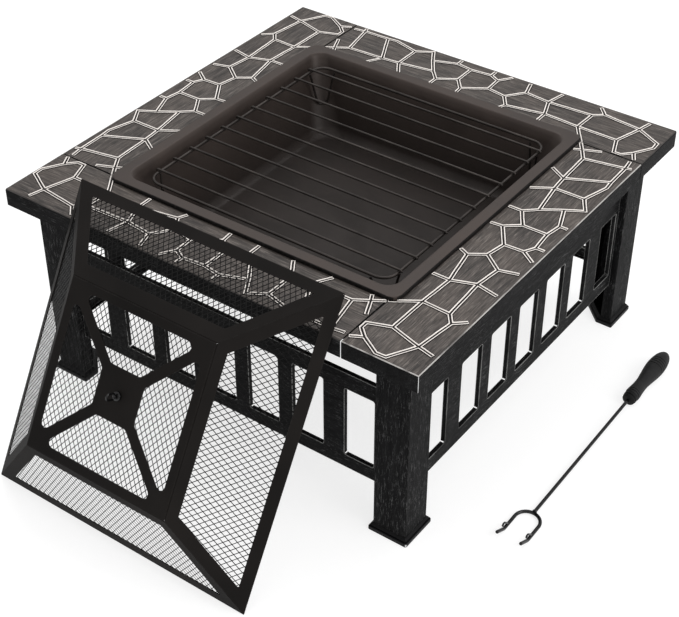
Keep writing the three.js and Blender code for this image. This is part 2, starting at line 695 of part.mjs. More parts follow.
function lid() {
  const group = new THREE.Group();
  const sides = ['lower', 'right', 'upper', 'left'];
  const frameNames = sides.map((side) => `lid_side_frame_${side}`);
  const meshNames = sides.map((side) => `lid_side_mesh_${side}`);
  const frames = quarterTurned(frameNames, lidSideFrame(LID_STRIP), 'lid_black');
  frames[sides.indexOf('upper')].geometry = lidSideFrame(LID_UPPER_STRIP);
  group.add(...frames);
  group.add(...quarterTurned(meshNames, lidSideMesh(), 'lid_mesh'));
  group.add(piece('lid_plate', lidPlate(), 'lid_black'));
  group.add(piece('lid_plate_mesh', lidPlateMesh(), 'lid_mesh'));
  group.add(piece('lid_lifting_eye', liftingEye(), 'lid_black'));
  group.add(piece('lid_eye_collar', eyeCollar(), 'lid_black'));
  group.add(piece('lid_eye_nut', eyeNut(), 'lid_black'));

  const sine = Math.sin(LID_LEAN);
  const cosine = Math.cos(LID_LEAN);
  const floorEdgeY = -HALF - (TABLE_HEIGHT * cosine + LID_TABLE_GAP) / sine;
  group.rotation.x = LID_LEAN;
  group.position.set(0, floorEdgeY + (LID_BASE / 2) * cosine, (LID_BASE / 2) * sine);
  return group;
}

// ---------------------------------------------------------------- poker

// A U of rod whose tips turn up.
function pokerFork() {
  const back = vector(0, 1, 0);
  const side = vector(1, 0, 0);
  const hookCentre = vector(FORK_HALF, TINE_BEND_AT, TINE_HOOK);
  const hook = arc(hookCentre, TINE_HOOK, back, UP, 270 - TINE_TURN, 270, SMALL_BEND_STEPS);
  const tip = vector(FORK_HALF, 0, hook[0].z + TIP_RISE.up);
  const rightTip = [tip, ...hook];
  const leftTip = rightTip.map((p) => vector(-p.x, p.y, p.z)).reverse();
  const bendCentre = vector(0, FORK_LENGTH - FORK_HALF - POKER_ROD, 0);
  const bend = arc(bendCentre, FORK_HALF, side, back, 0, 180, FORK_BEND_STEPS);
  return wire([...rightTip, ...bend, ...leftTip], side, POKER_ROD);
}

// A small hook of rod that leans from a tine towards its tip and bends back down.
function pokerBarb(x) {
  const footRise = POKER_ROD + FIT_GAP + slanted(BARB_ROD, BARB_LEAN).along;
  const foot = vector(x, BARB_FROM_TIP, footRise);
  const bendFrom = 90 - BARB_LEAN;
  const spoke = slanted(BARB_BEND, bendFrom);
  const armEnd = vector(x, foot.y - BARB_ARM.along, foot.z + BARB_ARM.up);
  const bendCentre = vector(x, armEnd.y - spoke.along, armEnd.z - spoke.up);
  const back = vector(0, 1, 0);
  const bend = arc(bendCentre, BARB_BEND, back, UP, bendFrom, bendFrom + BARB_TURN, BEND_STEPS);
  return wire([foot, ...bend], vector(1, 0, 0), BARB_ROD);
}

// A turned shape along the poker from radius and distance pairs.
function turned(profile, start) {
  const points = profile.map(([radius, distance]) => new THREE.Vector2(radius, distance));
  const geometry = new THREE.LatheGeometry(points, TURNED_SIDES);
  geometry.translate(0, start, 0);
  return geometryOf(solidOf(geometry));
}

function poker() {
  const group = new THREE.Group();
  const shaftStart = FORK_LENGTH + FIT_GAP;
  const shaftEnd = shaftStart + SHAFT_LENGTH;
  const ferruleStart = shaftEnd + FIT_GAP;
  const ferruleEnd = ferruleStart + FERRULE_PROFILE.at(-1)[1];
  const shaft = [[0, 0], [POKER_ROD, 0], [POKER_ROD, SHAFT_LENGTH], [0, SHAFT_LENGTH]];
  group.add(piece('poker_fork', pokerFork(), 'poker_steel'));
  group.add(piece('poker_barb_left', pokerBarb(-FORK_HALF), 'poker_steel'));
  group.add(piece('poker_barb_right', pokerBarb(FORK_HALF), 'poker_steel'));
  group.add(piece('poker_shaft', turned(shaft, shaftStart), 'poker_steel'));
  group.add(piece('poker_ferrule', turned(FERRULE_PROFILE, ferruleStart), 'handle_black'));
  group.add(piece('poker_handle', turned(HANDLE_PROFILE, ferruleEnd + FIT_GAP), 'handle_black'));
  group.rotation.x = POKER_TILT;
  group.position.set(POKER_X, POKER_TIP_Y, POKER_ROD - TINE_BEND_AT * Math.sin(POKER_TILT));
  return group;
}

// ---------------------------------------------------------------- whole object

// The origin is the middle of the bottom of the whole object's box.
const firePit = new THREE.Group();
firePit.add(table(), piece('bowl', bowl(), 'bowl_bronze'), grate(), lid(), poker());
firePit.updateMatrixWorld(true);
const box = new THREE.Box3().setFromObject(firePit, true);
const middle = box.getCenter(new THREE.Vector3());
firePit.position.set(-middle.x, -middle.y, -box.min.z);
firePit.updateMatrixWorld(true);

export default firePit;
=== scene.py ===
import math

import bmesh
import bpy
from mathutils import Matrix, Vector, noise


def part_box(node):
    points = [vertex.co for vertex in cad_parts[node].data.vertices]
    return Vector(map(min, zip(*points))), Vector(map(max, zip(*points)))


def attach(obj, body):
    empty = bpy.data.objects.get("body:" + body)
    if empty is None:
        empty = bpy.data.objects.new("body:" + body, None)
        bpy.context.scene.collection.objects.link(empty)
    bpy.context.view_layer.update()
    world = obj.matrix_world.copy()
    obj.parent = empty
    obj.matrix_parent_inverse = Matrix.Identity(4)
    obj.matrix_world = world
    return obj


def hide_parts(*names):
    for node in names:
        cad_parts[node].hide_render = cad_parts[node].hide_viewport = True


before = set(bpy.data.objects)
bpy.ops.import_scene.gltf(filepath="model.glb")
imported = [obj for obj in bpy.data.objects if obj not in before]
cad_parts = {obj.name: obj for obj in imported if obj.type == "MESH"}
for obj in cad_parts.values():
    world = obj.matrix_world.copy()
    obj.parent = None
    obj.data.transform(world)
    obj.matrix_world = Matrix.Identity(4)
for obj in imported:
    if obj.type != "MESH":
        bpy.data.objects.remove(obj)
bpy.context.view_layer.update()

# Square steel fire pit table with a drop-in bowl, a wire grate, a mesh lid and a poker.
# Shapes are written in millimetres from the table's centre on the floor, and placed in metres.
# +X is the side with the poker, -Y is the side with the lid.

MM = 0.001
UP = Vector((0, 0, 1))
RIGHT = Vector((1, 0, 0))
BACK = Vector((0, 1, 0))
SQUARE = ((-1, -1), (1, -1), (1, 1), (-1, 1))
SIDES = ("right", "back", "left", "front")  # in quarter turns from the right-hand side
LID_SIDES = ("lower", "right", "upper", "left")  # in quarter turns from the lower side
CORNERS = ("front_right", "back_right", "back_left", "front_left")

# -------- dimensions, mm

TABLE_HALF = 406.4
TABLE_TOP = 386.0
SHEET = 1.5
PIECE_GAP = 0.3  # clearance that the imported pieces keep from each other
LIP_DEPTH = 31.0
OPENING_HALF = 273.0
PANEL_SEAM = 2.4
OPENING_FLANGE = 12.0
LIP_BEND = 3.0
FLANGE_BEND = 1.5

LEG_OUTER = 372.0
LEG_FACE = 61.0
LEG_RETURN = 20.0
LEG_BOTTOM = 3.3
LEG_TOP = 381.9
LEG_BEND = 2.0

CAP_RIM_STEP = 6.0
CAP_NECK_STEP = 3.5
CAP_FLOOR = 3.0

RIM_HALF = 288.0
RIM_FACE = 392.8
RIM_FOOT = 386.3
RIM_BEND = 4.0
BOWL_FLOOR = 256.0

GRATE_HALF = 241.5
GRATE_CORNER = 25.0
GRATE_Z = 379.0
FRAME_ROD = 2.5
CROSS_ROD = 2.0
CROSS_COUNT = 11
CROSS_PITCH = 42.3

LID_BASE_HALF = 257.0
LID_PLATE_HALF = 138.7
LID_DEPTH = 104.0
LID_LEAN = math.radians(59.8)
LID_RUN = LID_BASE_HALF - LID_PLATE_HALF
LID_SLANT = math.hypot(LID_RUN, LID_DEPTH)
DIAMOND_WIDE = 10.0
DIAMOND_TALL = 14.0
STRAND_WIDE = 1.45
STRAND_THICK = 0.5
STRAND_TILT = math.radians(8)
MESH_DEEP = 2.35
MESH_MARGIN = 10.0  # from the side mesh to the ends, the foot and the head of its side
MESH_FOOT = 8.0
MESH_HEAD = 11.0
PLATE_MARGIN = 7.0
MESH_HOLE = 6.5
WELD_ROD = 0.9

POKER_TILT = math.radians(1.64)
POKER_ROD = 3.0
FORK_HALF = 21.5
FORK_LENGTH = 82.0
SHAFT_LENGTH = 321.0
TINE_TIP = 23.0
TINE_HOOK = 12.0
TINE_TURN = 29
BARB_FROM_TIP = 33.0
BARB_ROD = 1.6
BARB_LEAN = 45
BARB_STRAIGHT = 11.0
BARB_BEND = 4.2
BARB_TURN = 130
FERRULE_LENGTH = 12.0
HANDLE_LENGTH = 137.0

FLOOR_GLOW = 0.74
FLOOR_TONE = 0.38
FLOOR_REACH = 14.0  # metres

WELD_REACH = 0.02  # points of a CAD mesh closer than this are one point
LID_BEVEL = 0.15
NOISE_RANGE = (0.3, 0.7)  # where nearly all of a noise lies

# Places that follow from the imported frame.
low_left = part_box("top_panel_left")[0]
high_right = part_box("top_panel_right")[1]
low_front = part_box("top_panel_front")[0]
high_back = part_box("top_panel_back")[1]
TABLE_ORIGIN = Vector(((low_left.x + high_right.x) / 2, (low_front.y + high_back.y) / 2, 0))
TABLE_PLACE = Matrix.Translation(TABLE_ORIGIN) @ Matrix.Scale(MM, 4)


def place_on(node, turn, middle):
    """Where a body's own frame lies, from the box of one CAD node and that node's middle, mm."""
    low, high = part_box(node)
    return Matrix.Translation((low + high) / 2 - turn @ (middle * MM)) @ turn @ Matrix.Scale(MM, 4)


LID_PLACE = place_on(
    "lid_plate", Matrix.Rotation(LID_LEAN, 4, "X"), UP * (LID_DEPTH - SHEET / 2)
)
POKER_PLACE = place_on(
    "poker_shaft",
    Matrix.Rotation(POKER_TILT, 4, "X"),
    BACK * (FORK_LENGTH + PIECE_GAP + SHAFT_LENGTH / 2),
)


def quarter_turn(turn):
    return Matrix.Rotation(turn * math.pi / 2, 4, "Z")


# -------- material helpers


class Paint:
    """A node material being built, with short calls for the nodes that it uses.

    Colours are linear, scales of noise are features per metre, and lengths are metres.
    """

    def __init__(self, name, metallic, specular):
        self.material = bpy.data.materials.new(name)
        self.material.use_nodes = True
        self.tree = self.material.node_tree
        self.surface = self.tree.nodes["Principled BSDF"]
        self.surface.inputs["Metallic"].default_value = metallic
        self.surface.inputs["Specular IOR Level"].default_value = specular
        self.place = self.node("TexCoord").outputs["Object"]

    def node(self, kind):
        return self.tree.nodes.new(f"ShaderNode{kind}")

    def link(self, value, socket):
        if isinstance(value, (int, float)):
            socket.default_value = value
        elif isinstance(value, tuple):
            socket.default_value = (*value, 1.0)
        else:
            self.tree.links.new(value, socket)

    def noise(self, scale, detail=3.0, rough=0.6, distortion=0.0):
        """Noise with one scale, or with one for each axis."""
        mapping = self.node("Mapping")
        mapping.inputs["Scale"].default_value = scale if isinstance(scale, tuple) else (scale,) * 3
        self.link(self.place, mapping.inputs["Vector"])
        node = self.node("TexNoise")
        node.inputs["Scale"].default_value = 1.0
        node.inputs["Detail"].default_value = detail
        node.inputs["Roughness"].default_value = rough
        node.inputs["Distortion"].default_value = distortion
        self.link(mapping.outputs["Vector"], node.inputs["Vector"])
        return node.outputs["Fac"]

    def product(self, first, second):
        node = self.node("Math")
        node.operation = "MULTIPLY"
        node.use_clamp = True
        self.link(first, node.inputs[0])
        self.link(second, node.inputs[1])
        return node.outputs["Value"]

    def spread(self, value, start, end, low=0.0, high=1.0):
        """Maps start..end onto low..high."""
        node = self.node("MapRange")
        node.inputs["From Min"].default_value = start
        node.inputs["From Max"].default_value = end
        node.inputs["To Min"].default_value = low
        node.inputs["To Max"].default_value = high
        self.link(value, node.inputs["Value"])
        return node.outputs["Result"]

    def whole(self, noise, low=0.0, high=1.0):
        """Maps the usual range of a noise onto low..high."""
        return self.spread(noise, *NOISE_RANGE, low, high)

    def blend(self, share, first, second):
        node = self.node("Mix")
        node.data_type = "RGBA"
        self.link(share, node.inputs["Factor"])
        self.link(first, node.inputs["A"])
        self.link(second, node.inputs["B"])
        return node.outputs["Result"]

    def edges(self, radius, start, end):
        """1 on sharp outer edges, 0 on flat faces."""
        bevel = self.node("Bevel")
        bevel.samples = 6
        bevel.inputs["Radius"].default_value = radius
        dot = self.node("VectorMath")
        dot.operation = "DOT_PRODUCT"
        self.link(bevel.outputs["Normal"], dot.inputs[0])
        self.link(self.node("NewGeometry").outputs["Normal"], dot.inputs[1])
        return self.spread(dot.outputs["Value"], start, end)

    def bump(self, height, distance, strength):
        node = self.node("Bump")
        node.inputs["Strength"].default_value = strength
        node.inputs["Distance"].default_value = distance
        self.link(height, node.inputs["Height"])
        self.link(node.outputs["Normal"], self.surface.inputs["Normal"])

    def finish(self, colour, grain, low, high):
        """Sets the colour, and the roughness that follows a noise from low to high."""
        self.link(colour, self.surface.inputs["Base Color"])
        self.link(self.whole(grain, low, high), self.surface.inputs["Roughness"])
        return self.material


def stretched(axis, along, across):
    """Noise scale with long features along one axis."""
    return tuple(along if i == axis else across for i in range(3))


# -------- materials


def plain_paint(name, specular, grain, patch, tones, shine, bump=(0.0002, 0.4)):
    """Paint with a fine grain, between a dark and a light tone.

    patch is the scale of the patches of tone and the range of noise that they take. Without a
    scale the tone follows the grain. shine is the roughness from the low to the high grain.
    """
    paint = Paint(name, 0.0, specular)
    fine = paint.noise(grain)
    scale, start, end = patch
    tone = paint.noise(scale, 2, 0.5) if scale else fine
    colour = paint.blend(paint.spread(tone, start, end), *tones)
    paint.bump(fine, *bump)
    return paint.finish(colour, fine, *shine)


def stone_brown(name, axis):
    """Charcoal brown of the stamped top, brushed along one axis."""
    paint = Paint(name, 0.2, 0.3)
    broad = paint.noise(stretched(axis, 11, 150))
    fine = paint.noise(stretched(axis, 24, 430), 5, 0.78)
    patch = paint.noise(13)
    dark = (0.018, 0.0150, 0.0135)
    middle = (0.072, 0.061, 0.055)
    light = (0.230, 0.200, 0.180)
    warm = (0.105, 0.086, 0.074)
    colour = paint.blend(paint.spread(broad, 0.32, 0.62), dark, middle)
    colour = paint.blend(paint.spread(patch, 0.42, 0.66, 0.0, 0.55), colour, warm)
    colour = paint.blend(paint.spread(fine, 0.53, 0.70, 0.0, 0.85), colour, light)
    colour = paint.blend(paint.spread(fine, 0.49, 0.36, 0.0, 0.9), colour, dark)
    paint.bump(fine, 0.0004, 0.7)
    return paint.finish(colour, fine, 0.58, 0.40)


def brushed_black(name, axis, rubbed, wear=0.0):
    """Near-black paint rubbed through to silver in thin streaks along one axis."""
    paint = Paint(name, 0.0, 0.018)
    broad = paint.noise(stretched(axis, 9, 120), 2, 0.5)
    streak = paint.noise(stretched(axis, 60, 900), 5, 0.8)
    place = paint.noise(19)
    black = (0.0056, 0.0056, 0.0058)
    soft = (0.0100, 0.0100, 0.0103)
    silver = (0.26, 0.26, 0.26)
    colour = paint.blend(paint.spread(broad, 0.35, 0.7), black, soft)
    in_patches = paint.spread(place, 0.36, 0.64, 0.10, rubbed)
    share = paint.product(paint.spread(streak, 0.56, 0.68), in_patches)
    colour = paint.blend(share, colour, silver)
    if wear:
        edge = paint.edges(0.0022, 0.994, 0.93)
        edge_wear_and_highlight = paint.product(edge, paint.spread(place, 0.32, 0.55, 0.25, wear))
        colour = paint.blend(edge_wear_and_highlight, colour, (0.34, 0.34, 0.33))
    paint.bump(streak, 0.0003, 0.5)
    return paint.finish(colour, streak, 0.56, 0.38)


def worn_edge(name, axis, light, dark):
    """Bare bright metal where the paint is rubbed off a fold."""
    paint = Paint(name, 0.3, 0.4)
    streak = paint.noise(stretched(axis, 14, 60))
    colour = paint.blend(paint.spread(streak, 0.34, 0.52), dark, light)
    paint.bump(streak, 0.0003, 0.4)
    return paint.finish(colour, streak, 0.45, 0.30)


def stone_joint():
    """Rubbed silver-cream ridges beside the joints of the stone pattern."""
    paint = Paint("joint_ridge", 0.0, 0.4)
    speck = paint.noise(420, 4)
    broad = paint.noise(45, 2, 0.5)
    cream = (0.95, 0.89, 0.84)
    brown = (0.21, 0.18, 0.165)
    colour = paint.blend(paint.whole(broad, 0.0, 0.16), cream, brown)
    colour = paint.blend(paint.spread(speck, 0.60, 0.72, 0.0, 0.65), colour, brown)
    paint.bump(speck, 0.0002, 0.5)
    return paint.finish(colour, speck, 0.36, 0.52)


def bowl_bronze():
    """Dark bronze heat-proof paint, a little sooty towards the floor."""
    paint = Paint("bowl_bronze_paint", 0.2, 0.22)
    grain = paint.noise(520)
    heat = paint.noise((9, 9, 14), 4, 0.6, 0.6)
    height = paint.node("SeparateXYZ")
    paint.link(paint.place, height.inputs["Vector"])
    soot_top = (RIM_FACE - 8) * MM
    soot = paint.spread(height.outputs["Z"], soot_top, BOWL_FLOOR * MM, 0.15, 0.9)
    soot = paint.product(soot, paint.spread(heat, 0.25, 0.6, 0.65, 1.0))
    colour = paint.blend(paint.whole(heat), (0.043, 0.033, 0.029), (0.066, 0.050, 0.043))
    colour = paint.blend(soot, colour, (0.012, 0.0092, 0.0080))
    paint.bump(grain, 0.0002, 0.45)
    return paint.finish(colour, heat, 0.38, 0.54)


def dark_wire():
    """Oiled steel wire with small spots of scale."""
    paint = Paint("grate_steel", 0.55, 0.4)
    scale = paint.noise(170, 4, 0.65)
    broad = paint.noise(22, 2, 0.5)
    colour = paint.blend(paint.whole(broad), (0.018, 0.0145, 0.0130), (0.048, 0.040, 0.036))
    colour = paint.blend(paint.spread(scale, 0.6, 0.72, 0.0, 0.7), colour, (0.014, 0.009, 0.007))
    paint.bump(scale, 0.0002, 0.5)
    return paint.finish(colour, scale, 0.30, 0.50)


def lid_black():
    """Smooth matte charcoal powder coat, a little lighter along its edges as a painted highlight.
    """
    paint = Paint("lid_powder_coat", 0.0, 0.055)
    peel = paint.noise(620, 2, 0.5)
    broad = paint.noise(7, 3, 0.5)
    dark = (0.0078, 0.0070, 0.0066)
    colour = paint.blend(paint.whole(broad), dark, (0.0135, 0.0117, 0.0108))
    # Painted highlight: a lighter tone in patches along the sharp edges.
    edge = paint.edges(0.0018, 0.994, 0.92)
    edge_wear_and_highlight = paint.product(edge, paint.spread(paint.noise(60), 0.35, 0.6, 0.15, 0.85))
    colour = paint.blend(edge_wear_and_highlight, colour, (0.020, 0.018, 0.017))
    paint.bump(peel, 0.00015, 0.45)
    return paint.finish(colour, peel, 0.56, 0.70)


def handle_rubber(name, light):
    """Neutral dark rubber, with its light tone given."""
    tones = ((light * 0.6, light * 0.6, light * 0.62), (light, light, light * 1.03))
    return plain_paint(name, 0.2, 900, (55, *NOISE_RANGE), tones, (0.54, 0.70), (0.00025, 0.5))


def pale_floor():
    """White studio floor, partly lit from within so that it stays pale under the table."""
    paint = Paint("pale_floor", 0.0, 0.1)
    grain = paint.noise(60, 3, 0.5)
    paint.surface.inputs["Emission Color"].default_value = (1.0, 1.0, 1.0, 1.0)
    paint.surface.inputs["Emission Strength"].default_value = FLOOR_GLOW
    paint.surface.inputs["Roughness"].default_value = 0.8
    colour = paint.blend(paint.whole(grain), (FLOOR_TONE * 0.97,) * 3, (FLOOR_TONE,) * 3)
    paint.link(colour, paint.surface.inputs["Base Color"])
    return paint.material


ALONG_X, ALONG_Y, ALONG_Z = range(3)
FLAT = (ALONG_X, ALONG_Y)
TOP_BROWN = {axis: stone_brown(f"top_brown_{axis}", axis) for axis in FLAT}
LIP_BLACK = {axis: brushed_black(f"lip_black_{axis}", axis, 0.45) for axis in FLAT}
APRON_BLACK = {axis: brushed_black(f"apron_black_{axis}", axis, 0.6, 0.9) for axis in FLAT}
LEG_BLACK = brushed_black("leg_black", ALONG_Z, 0.8)
# Lit and shaded copies of the rubbed fold strip: its bright silver on the left and right panels is
# partly wear and partly a painted highlight, and its near-black on the front and back is painted
# shade.
TOP_EDGE_LIT_AND_SHADED = {
    ALONG_X: worn_edge("top_edge_front_painted_shade", ALONG_X, (0.050, 0.045, 0.042), (0.008, 0.007, 0.007)),
    ALONG_Y: worn_edge("top_edge_side_painted_highlight", ALONG_Y, (0.48, 0.46, 0.44), (0.16, 0.15, 0.145)),
}
LEG_EDGE = worn_edge("leg_edge_silver", ALONG_Z, (0.60, 0.60, 0.60), (0.07, 0.07, 0.07))
# Painted shade: near-black for the turned-down edge round the bowl's rim, standing in for the
# shadow gap between the rim and the table top.
RIM_EDGE_PAINTED_SHADE = plain_paint(
    "rim_edge_painted_shade", 0.12, 240, (None, 0.4, 0.7),
    ((0.0045, 0.0040, 0.0038), (0.016, 0.0135, 0.0125)), (0.52, 0.68),
)
RIDGE = stone_joint()
# Near-black for the joints: the dark joint between the two ridges, and a painted shadow line along
# the outer foot of each ridge.
GROOVE_AND_SHADOW_LINE = plain_paint(
    "joint_groove_and_painted_shadow", 0.12, 300, (None, 0.45, 0.7),
    ((0.0060, 0.0052, 0.0048), (0.030, 0.025, 0.022)), (0.5, 0.7), (0.0003, 0.6),
)
CAP = plain_paint(
    "cap_plastic", 0.12, 700, (30, *NOISE_RANGE),
    ((0.0028, 0.0028, 0.0031), (0.0062, 0.0062, 0.0066)), (0.42, 0.56),
)
BRONZE = bowl_bronze()
WIRE = dark_wire()
LID = lid_black()
MESH = plain_paint(
    "lid_mesh_paint", 0.08, 260, (None, 0.35, 0.7),
    ((0.0022, 0.0021, 0.0021), (0.0070, 0.0066, 0.0066)), (0.38, 0.58),
)
POKER = plain_paint(
    "poker_paint", 0.38, (330, 60, 330), (None, 0.35, 0.7),
    ((0.0020, 0.0020, 0.0022), (0.0060, 0.0060, 0.0063)), (0.13, 0.22),
)
HANDLE = handle_rubber("handle_grip", 0.016)
# The darker rubber of the ferrule, also used as painted shade in the handle's grooves.
FERRULE_AND_GROOVE_SHADE = handle_rubber("ferrule_dark_and_groove_shade", 0.0045)

# -------- mesh helpers


def new_object(name, data):
    thing = bpy.data.objects.new(name, data)
    bpy.context.scene.collection.objects.link(thing)
    return thing


def add_piece(mesh, place, body, replaced, materials, smooth=30, sheet=0.0):
    """Puts a mesh in the scene as a piece of one body, under the mesh's own name.

    smooth is the angle above which an edge is sharp. A sheet is thickened inwards.
    """
    mesh.transform(place)
    for material in materials:
        mesh.materials.append(material)
    piece = new_object(mesh.name, mesh)
    mesh.shade_smooth()
    mesh.set_sharp_from_angle(angle=math.radians(smooth))
    if sheet:
        modifier = piece.modifiers.new("sheet", "SOLIDIFY")
        modifier.thickness = sheet * MM
        modifier.offset = -1.0
        modifier.use_even_offset = True
    flat = piece.modifiers.new("flat_faces", "WEIGHTED_NORMAL")
    flat.weight = 100
    flat.keep_sharp = True
    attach(piece, body)
    if replaced:
        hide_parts(*replaced)
    return piece


def mesh_from_bmesh(name, build, outward=True):
    if outward:
        bmesh.ops.recalc_face_normals(build, faces=build.faces[:])
    mesh = bpy.data.meshes.new(name)
    build.to_mesh(mesh)
    build.free()
    return mesh


def mesh_from_faces(name, points, faces, weld=0.0):
    mesh = bpy.data.meshes.new(name)
    mesh.from_pydata(points, [], faces)
    build = bmesh.new()
    build.from_mesh(mesh)
    bpy.data.meshes.remove(mesh)
    if weld:
        bmesh.ops.remove_doubles(build, verts=build.verts[:], dist=weld)
    return mesh_from_bmesh(name, build)


def joined(name, parts):
    """One mesh out of several, which are used up."""
    build = bmesh.new()
    for part in parts:
        build.from_mesh(part)
        bpy.data.meshes.remove(part)
    return mesh_from_bmesh(name, build)


def mesh_from_rings(name, rings, closed=False):
    """A skin over rings of points, closed at both ends or back onto itself."""
    around = len(rings[0])
    points = [point for ring in rings for point in ring]
    faces = []
    bands = len(rings) if closed else len(rings) - 1
    for band in range(bands):
        here = band * around
        there = ((band + 1) % len(rings)) * around
        for i in range(around):
            j = (i + 1) % around
            faces.append((here + i, here + j, there + j, there + i))
    if not closed:
        last = (len(rings) - 1) * around
        faces.append(tuple(reversed(range(around))))
        faces.append(tuple(last + i for i in range(around)))
    return mesh_from_faces(name, points, faces, 1e-5)


def swept(path, radii, sides, normal, closed=False):
    """Rings of a round rod along a path, with one radius for each point or one for all."""
    count = len(path)
    if isinstance(radii, (int, float)):
        radii = [radii] * count
    normal = normal.copy()
    rings = []
    for i, point in enumerate(path):
        before = path[(i - 1) % count if closed else max(i - 1, 0)]
        after = path[(i + 1) % count if closed else min(i + 1, count - 1)]
        along = (after - before).normalized()
        normal = (normal - along * normal.dot(along)).normalized()
        across = along.cross(normal)
        ring = []
        for side in range(sides):
            angle = 2 * math.pi * side / sides
            spoke = normal * math.cos(angle) + across * math.sin(angle)
            ring.append(point + spoke * radii[i])
        rings.append(ring)
    return rings


def arc(centre, radius, first, second, start, end, steps):
    points = []
    for i in range(steps + 1):
        angle = math.radians(start + (end - start) * i / steps)
        spoke = first * math.cos(angle) + second * math.sin(angle)
        points.append(centre + spoke * radius)
    return points


def turned(profile, sides=48):
    """Rings round +Y from (radius, distance) pairs."""
    rings = []
    for radius, distance in profile:
        ring = []
        for side in range(sides):
            angle = 2 * math.pi * side / sides
            reach = max(radius, 0.02)
            ring.append(Vector((reach * math.cos(angle), distance, reach * math.sin(angle))))
        rings.append(ring)
    return rings


def rounded_polygon(corners, radius, steps):
    """Points round a polygon with each corner replaced by an arc."""
    points = []
    count = len(corners)
    for i, corner in enumerate(corners):
        before = (corners[i - 1] - corner).normalized()
        after = (corners[(i + 1) % count] - corner).normalized()
        half = math.acos(max(-1.0, min(1.0, before.dot(after)))) / 2
        start = corner + before * (radius / math.tan(half))
        middle = corner + (before + after).normalized() * (radius / math.sin(half))
        arm = start - middle
        cross = after.x * before.y - after.y * before.x
        turn = math.copysign(math.pi - 2 * half, cross)
        for step in range(steps + 1):
            points.append(middle + Matrix.Rotation(turn * step / steps, 2) @ arm)
    return points


def square_ring(half, radius, height, steps=12):
    corners = [Vector(corner) * half for corner in SQUARE]
    return [Vector((p.x, p.y, height)) for p in rounded_polygon(corners, radius, steps)]


def bent_profile(points, bend, steps=4):
    """A polyline of tuples with each inner corner rounded, shorter where it has no room."""
    points = [Vector(p) for p in points]
    rounded = [points[0]]
    for i in range(1, len(points) - 1):
        corner = points[i]
        to_before = points[i - 1] - corner
        to_after = points[i + 1] - corner
        reach = min(bend, to_before.length * 0.45, to_after.length * 0.45)
        start = corner + to_before.normalized() * reach
        end = corner + to_after.normalized() * reach
        for step in range(steps + 1):
            t = step / steps
            first = start.lerp(corner, t)
            second = corner.lerp(end, t)
            rounded.append(first.lerp(second, t))
    rounded.append(points[-1])
    return rounded


# -------- top panels


def panel_shell():
    """The right-hand panel: top face, outer lip, end lip and a flange at the opening."""
    outer = TABLE_HALF
    inner = OPENING_HALF
    far = OPENING_HALF - PANEL_SEAM
    seam = -OPENING_HALF + PANEL_SEAM
    top = TABLE_TOP
    lip = TABLE_TOP - LIP_DEPTH
    flange = TABLE_TOP - OPENING_FLANGE
    spots = {
        "corner": (outer, -outer, top),
        "far": (outer, far, top),
        "far_in": (inner, far, top),
        "seam": (inner, seam, top),
        "end": (inner, -outer, top),
        "corner_low": (outer, -outer, lip),
        "far_low": (outer, far, lip),
        "end_low": (inner, -outer, lip),
        "far_in_low": (inner, far, flange),
        "seam_low": (inner, seam, flange),
    }
    faces = (
        ("corner", "far", "far_in", "seam", "end"),
        ("corner", "corner_low", "far_low", "far"),
        ("corner", "end", "end_low", "corner_low"),
        ("seam", "far_in", "far_in_low", "seam_low"),
    )
    lip_folds = (("corner", "far"), ("corner", "end"), ("corner", "corner_low"))
    flange_folds = (("seam", "far_in"),)
    build = bmesh.new()
    verts = {key: build.verts.new(value) for key, value in spots.items()}
    for keys in faces:
        build.faces.new([verts[key] for key in keys])
    bmesh.ops.recalc_face_normals(build, faces=build.faces[:])
    for folds, bend, steps in ((lip_folds, LIP_BEND, 5), (flange_folds, FLANGE_BEND, 3)):
        edges = [build.edges.get([verts[first], verts[last]]) for first, last in folds]
        bmesh.ops.bevel(
            build, geom=edges, offset=bend, segments=steps, profile=0.5, affect="EDGES"
        )
    return build


def panel_materials(mesh):
    """Top face, lips, the rubbed strip along each outer fold, and the upright fold. The strip's
    tone is also a painted highlight on the left and right panels and painted shade on the front
    and back.
    """
    for face in mesh.polygons:
        normal = face.normal
        if min(abs(normal.x), abs(normal.y)) > 0.55:
            face.material_index = 3
        elif normal.z > 0.96:
            face.material_index = 0
        elif normal.z > 0.6 and face.center.x > OPENING_HALF + OPENING_FLANGE:
            face.material_index = 2
        else:
            face.material_index = 1


def side_axis(turn):
    """The axis that the side after some quarter turns runs along."""
    return ALONG_Y if turn % 2 == 0 else ALONG_X


def top_panels():
    for turn, side in enumerate(SIDES):
        mesh = mesh_from_bmesh(f"panel_shell_{side}", panel_shell(), outward=False)
        panel_materials(mesh)
        axis = side_axis(turn)
        # The outer fold strip takes the lit copy on the left and right panels and the shaded copy
        # on the front and back.
        finishes = [TOP_BROWN[axis], LIP_BLACK[axis], TOP_EDGE_LIT_AND_SHADED[axis], LEG_EDGE]
        place = TABLE_PLACE @ quarter_turn(turn)
        add_piece(mesh, place, "table", [f"top_panel_{side}"], finishes, 40, SHEET)


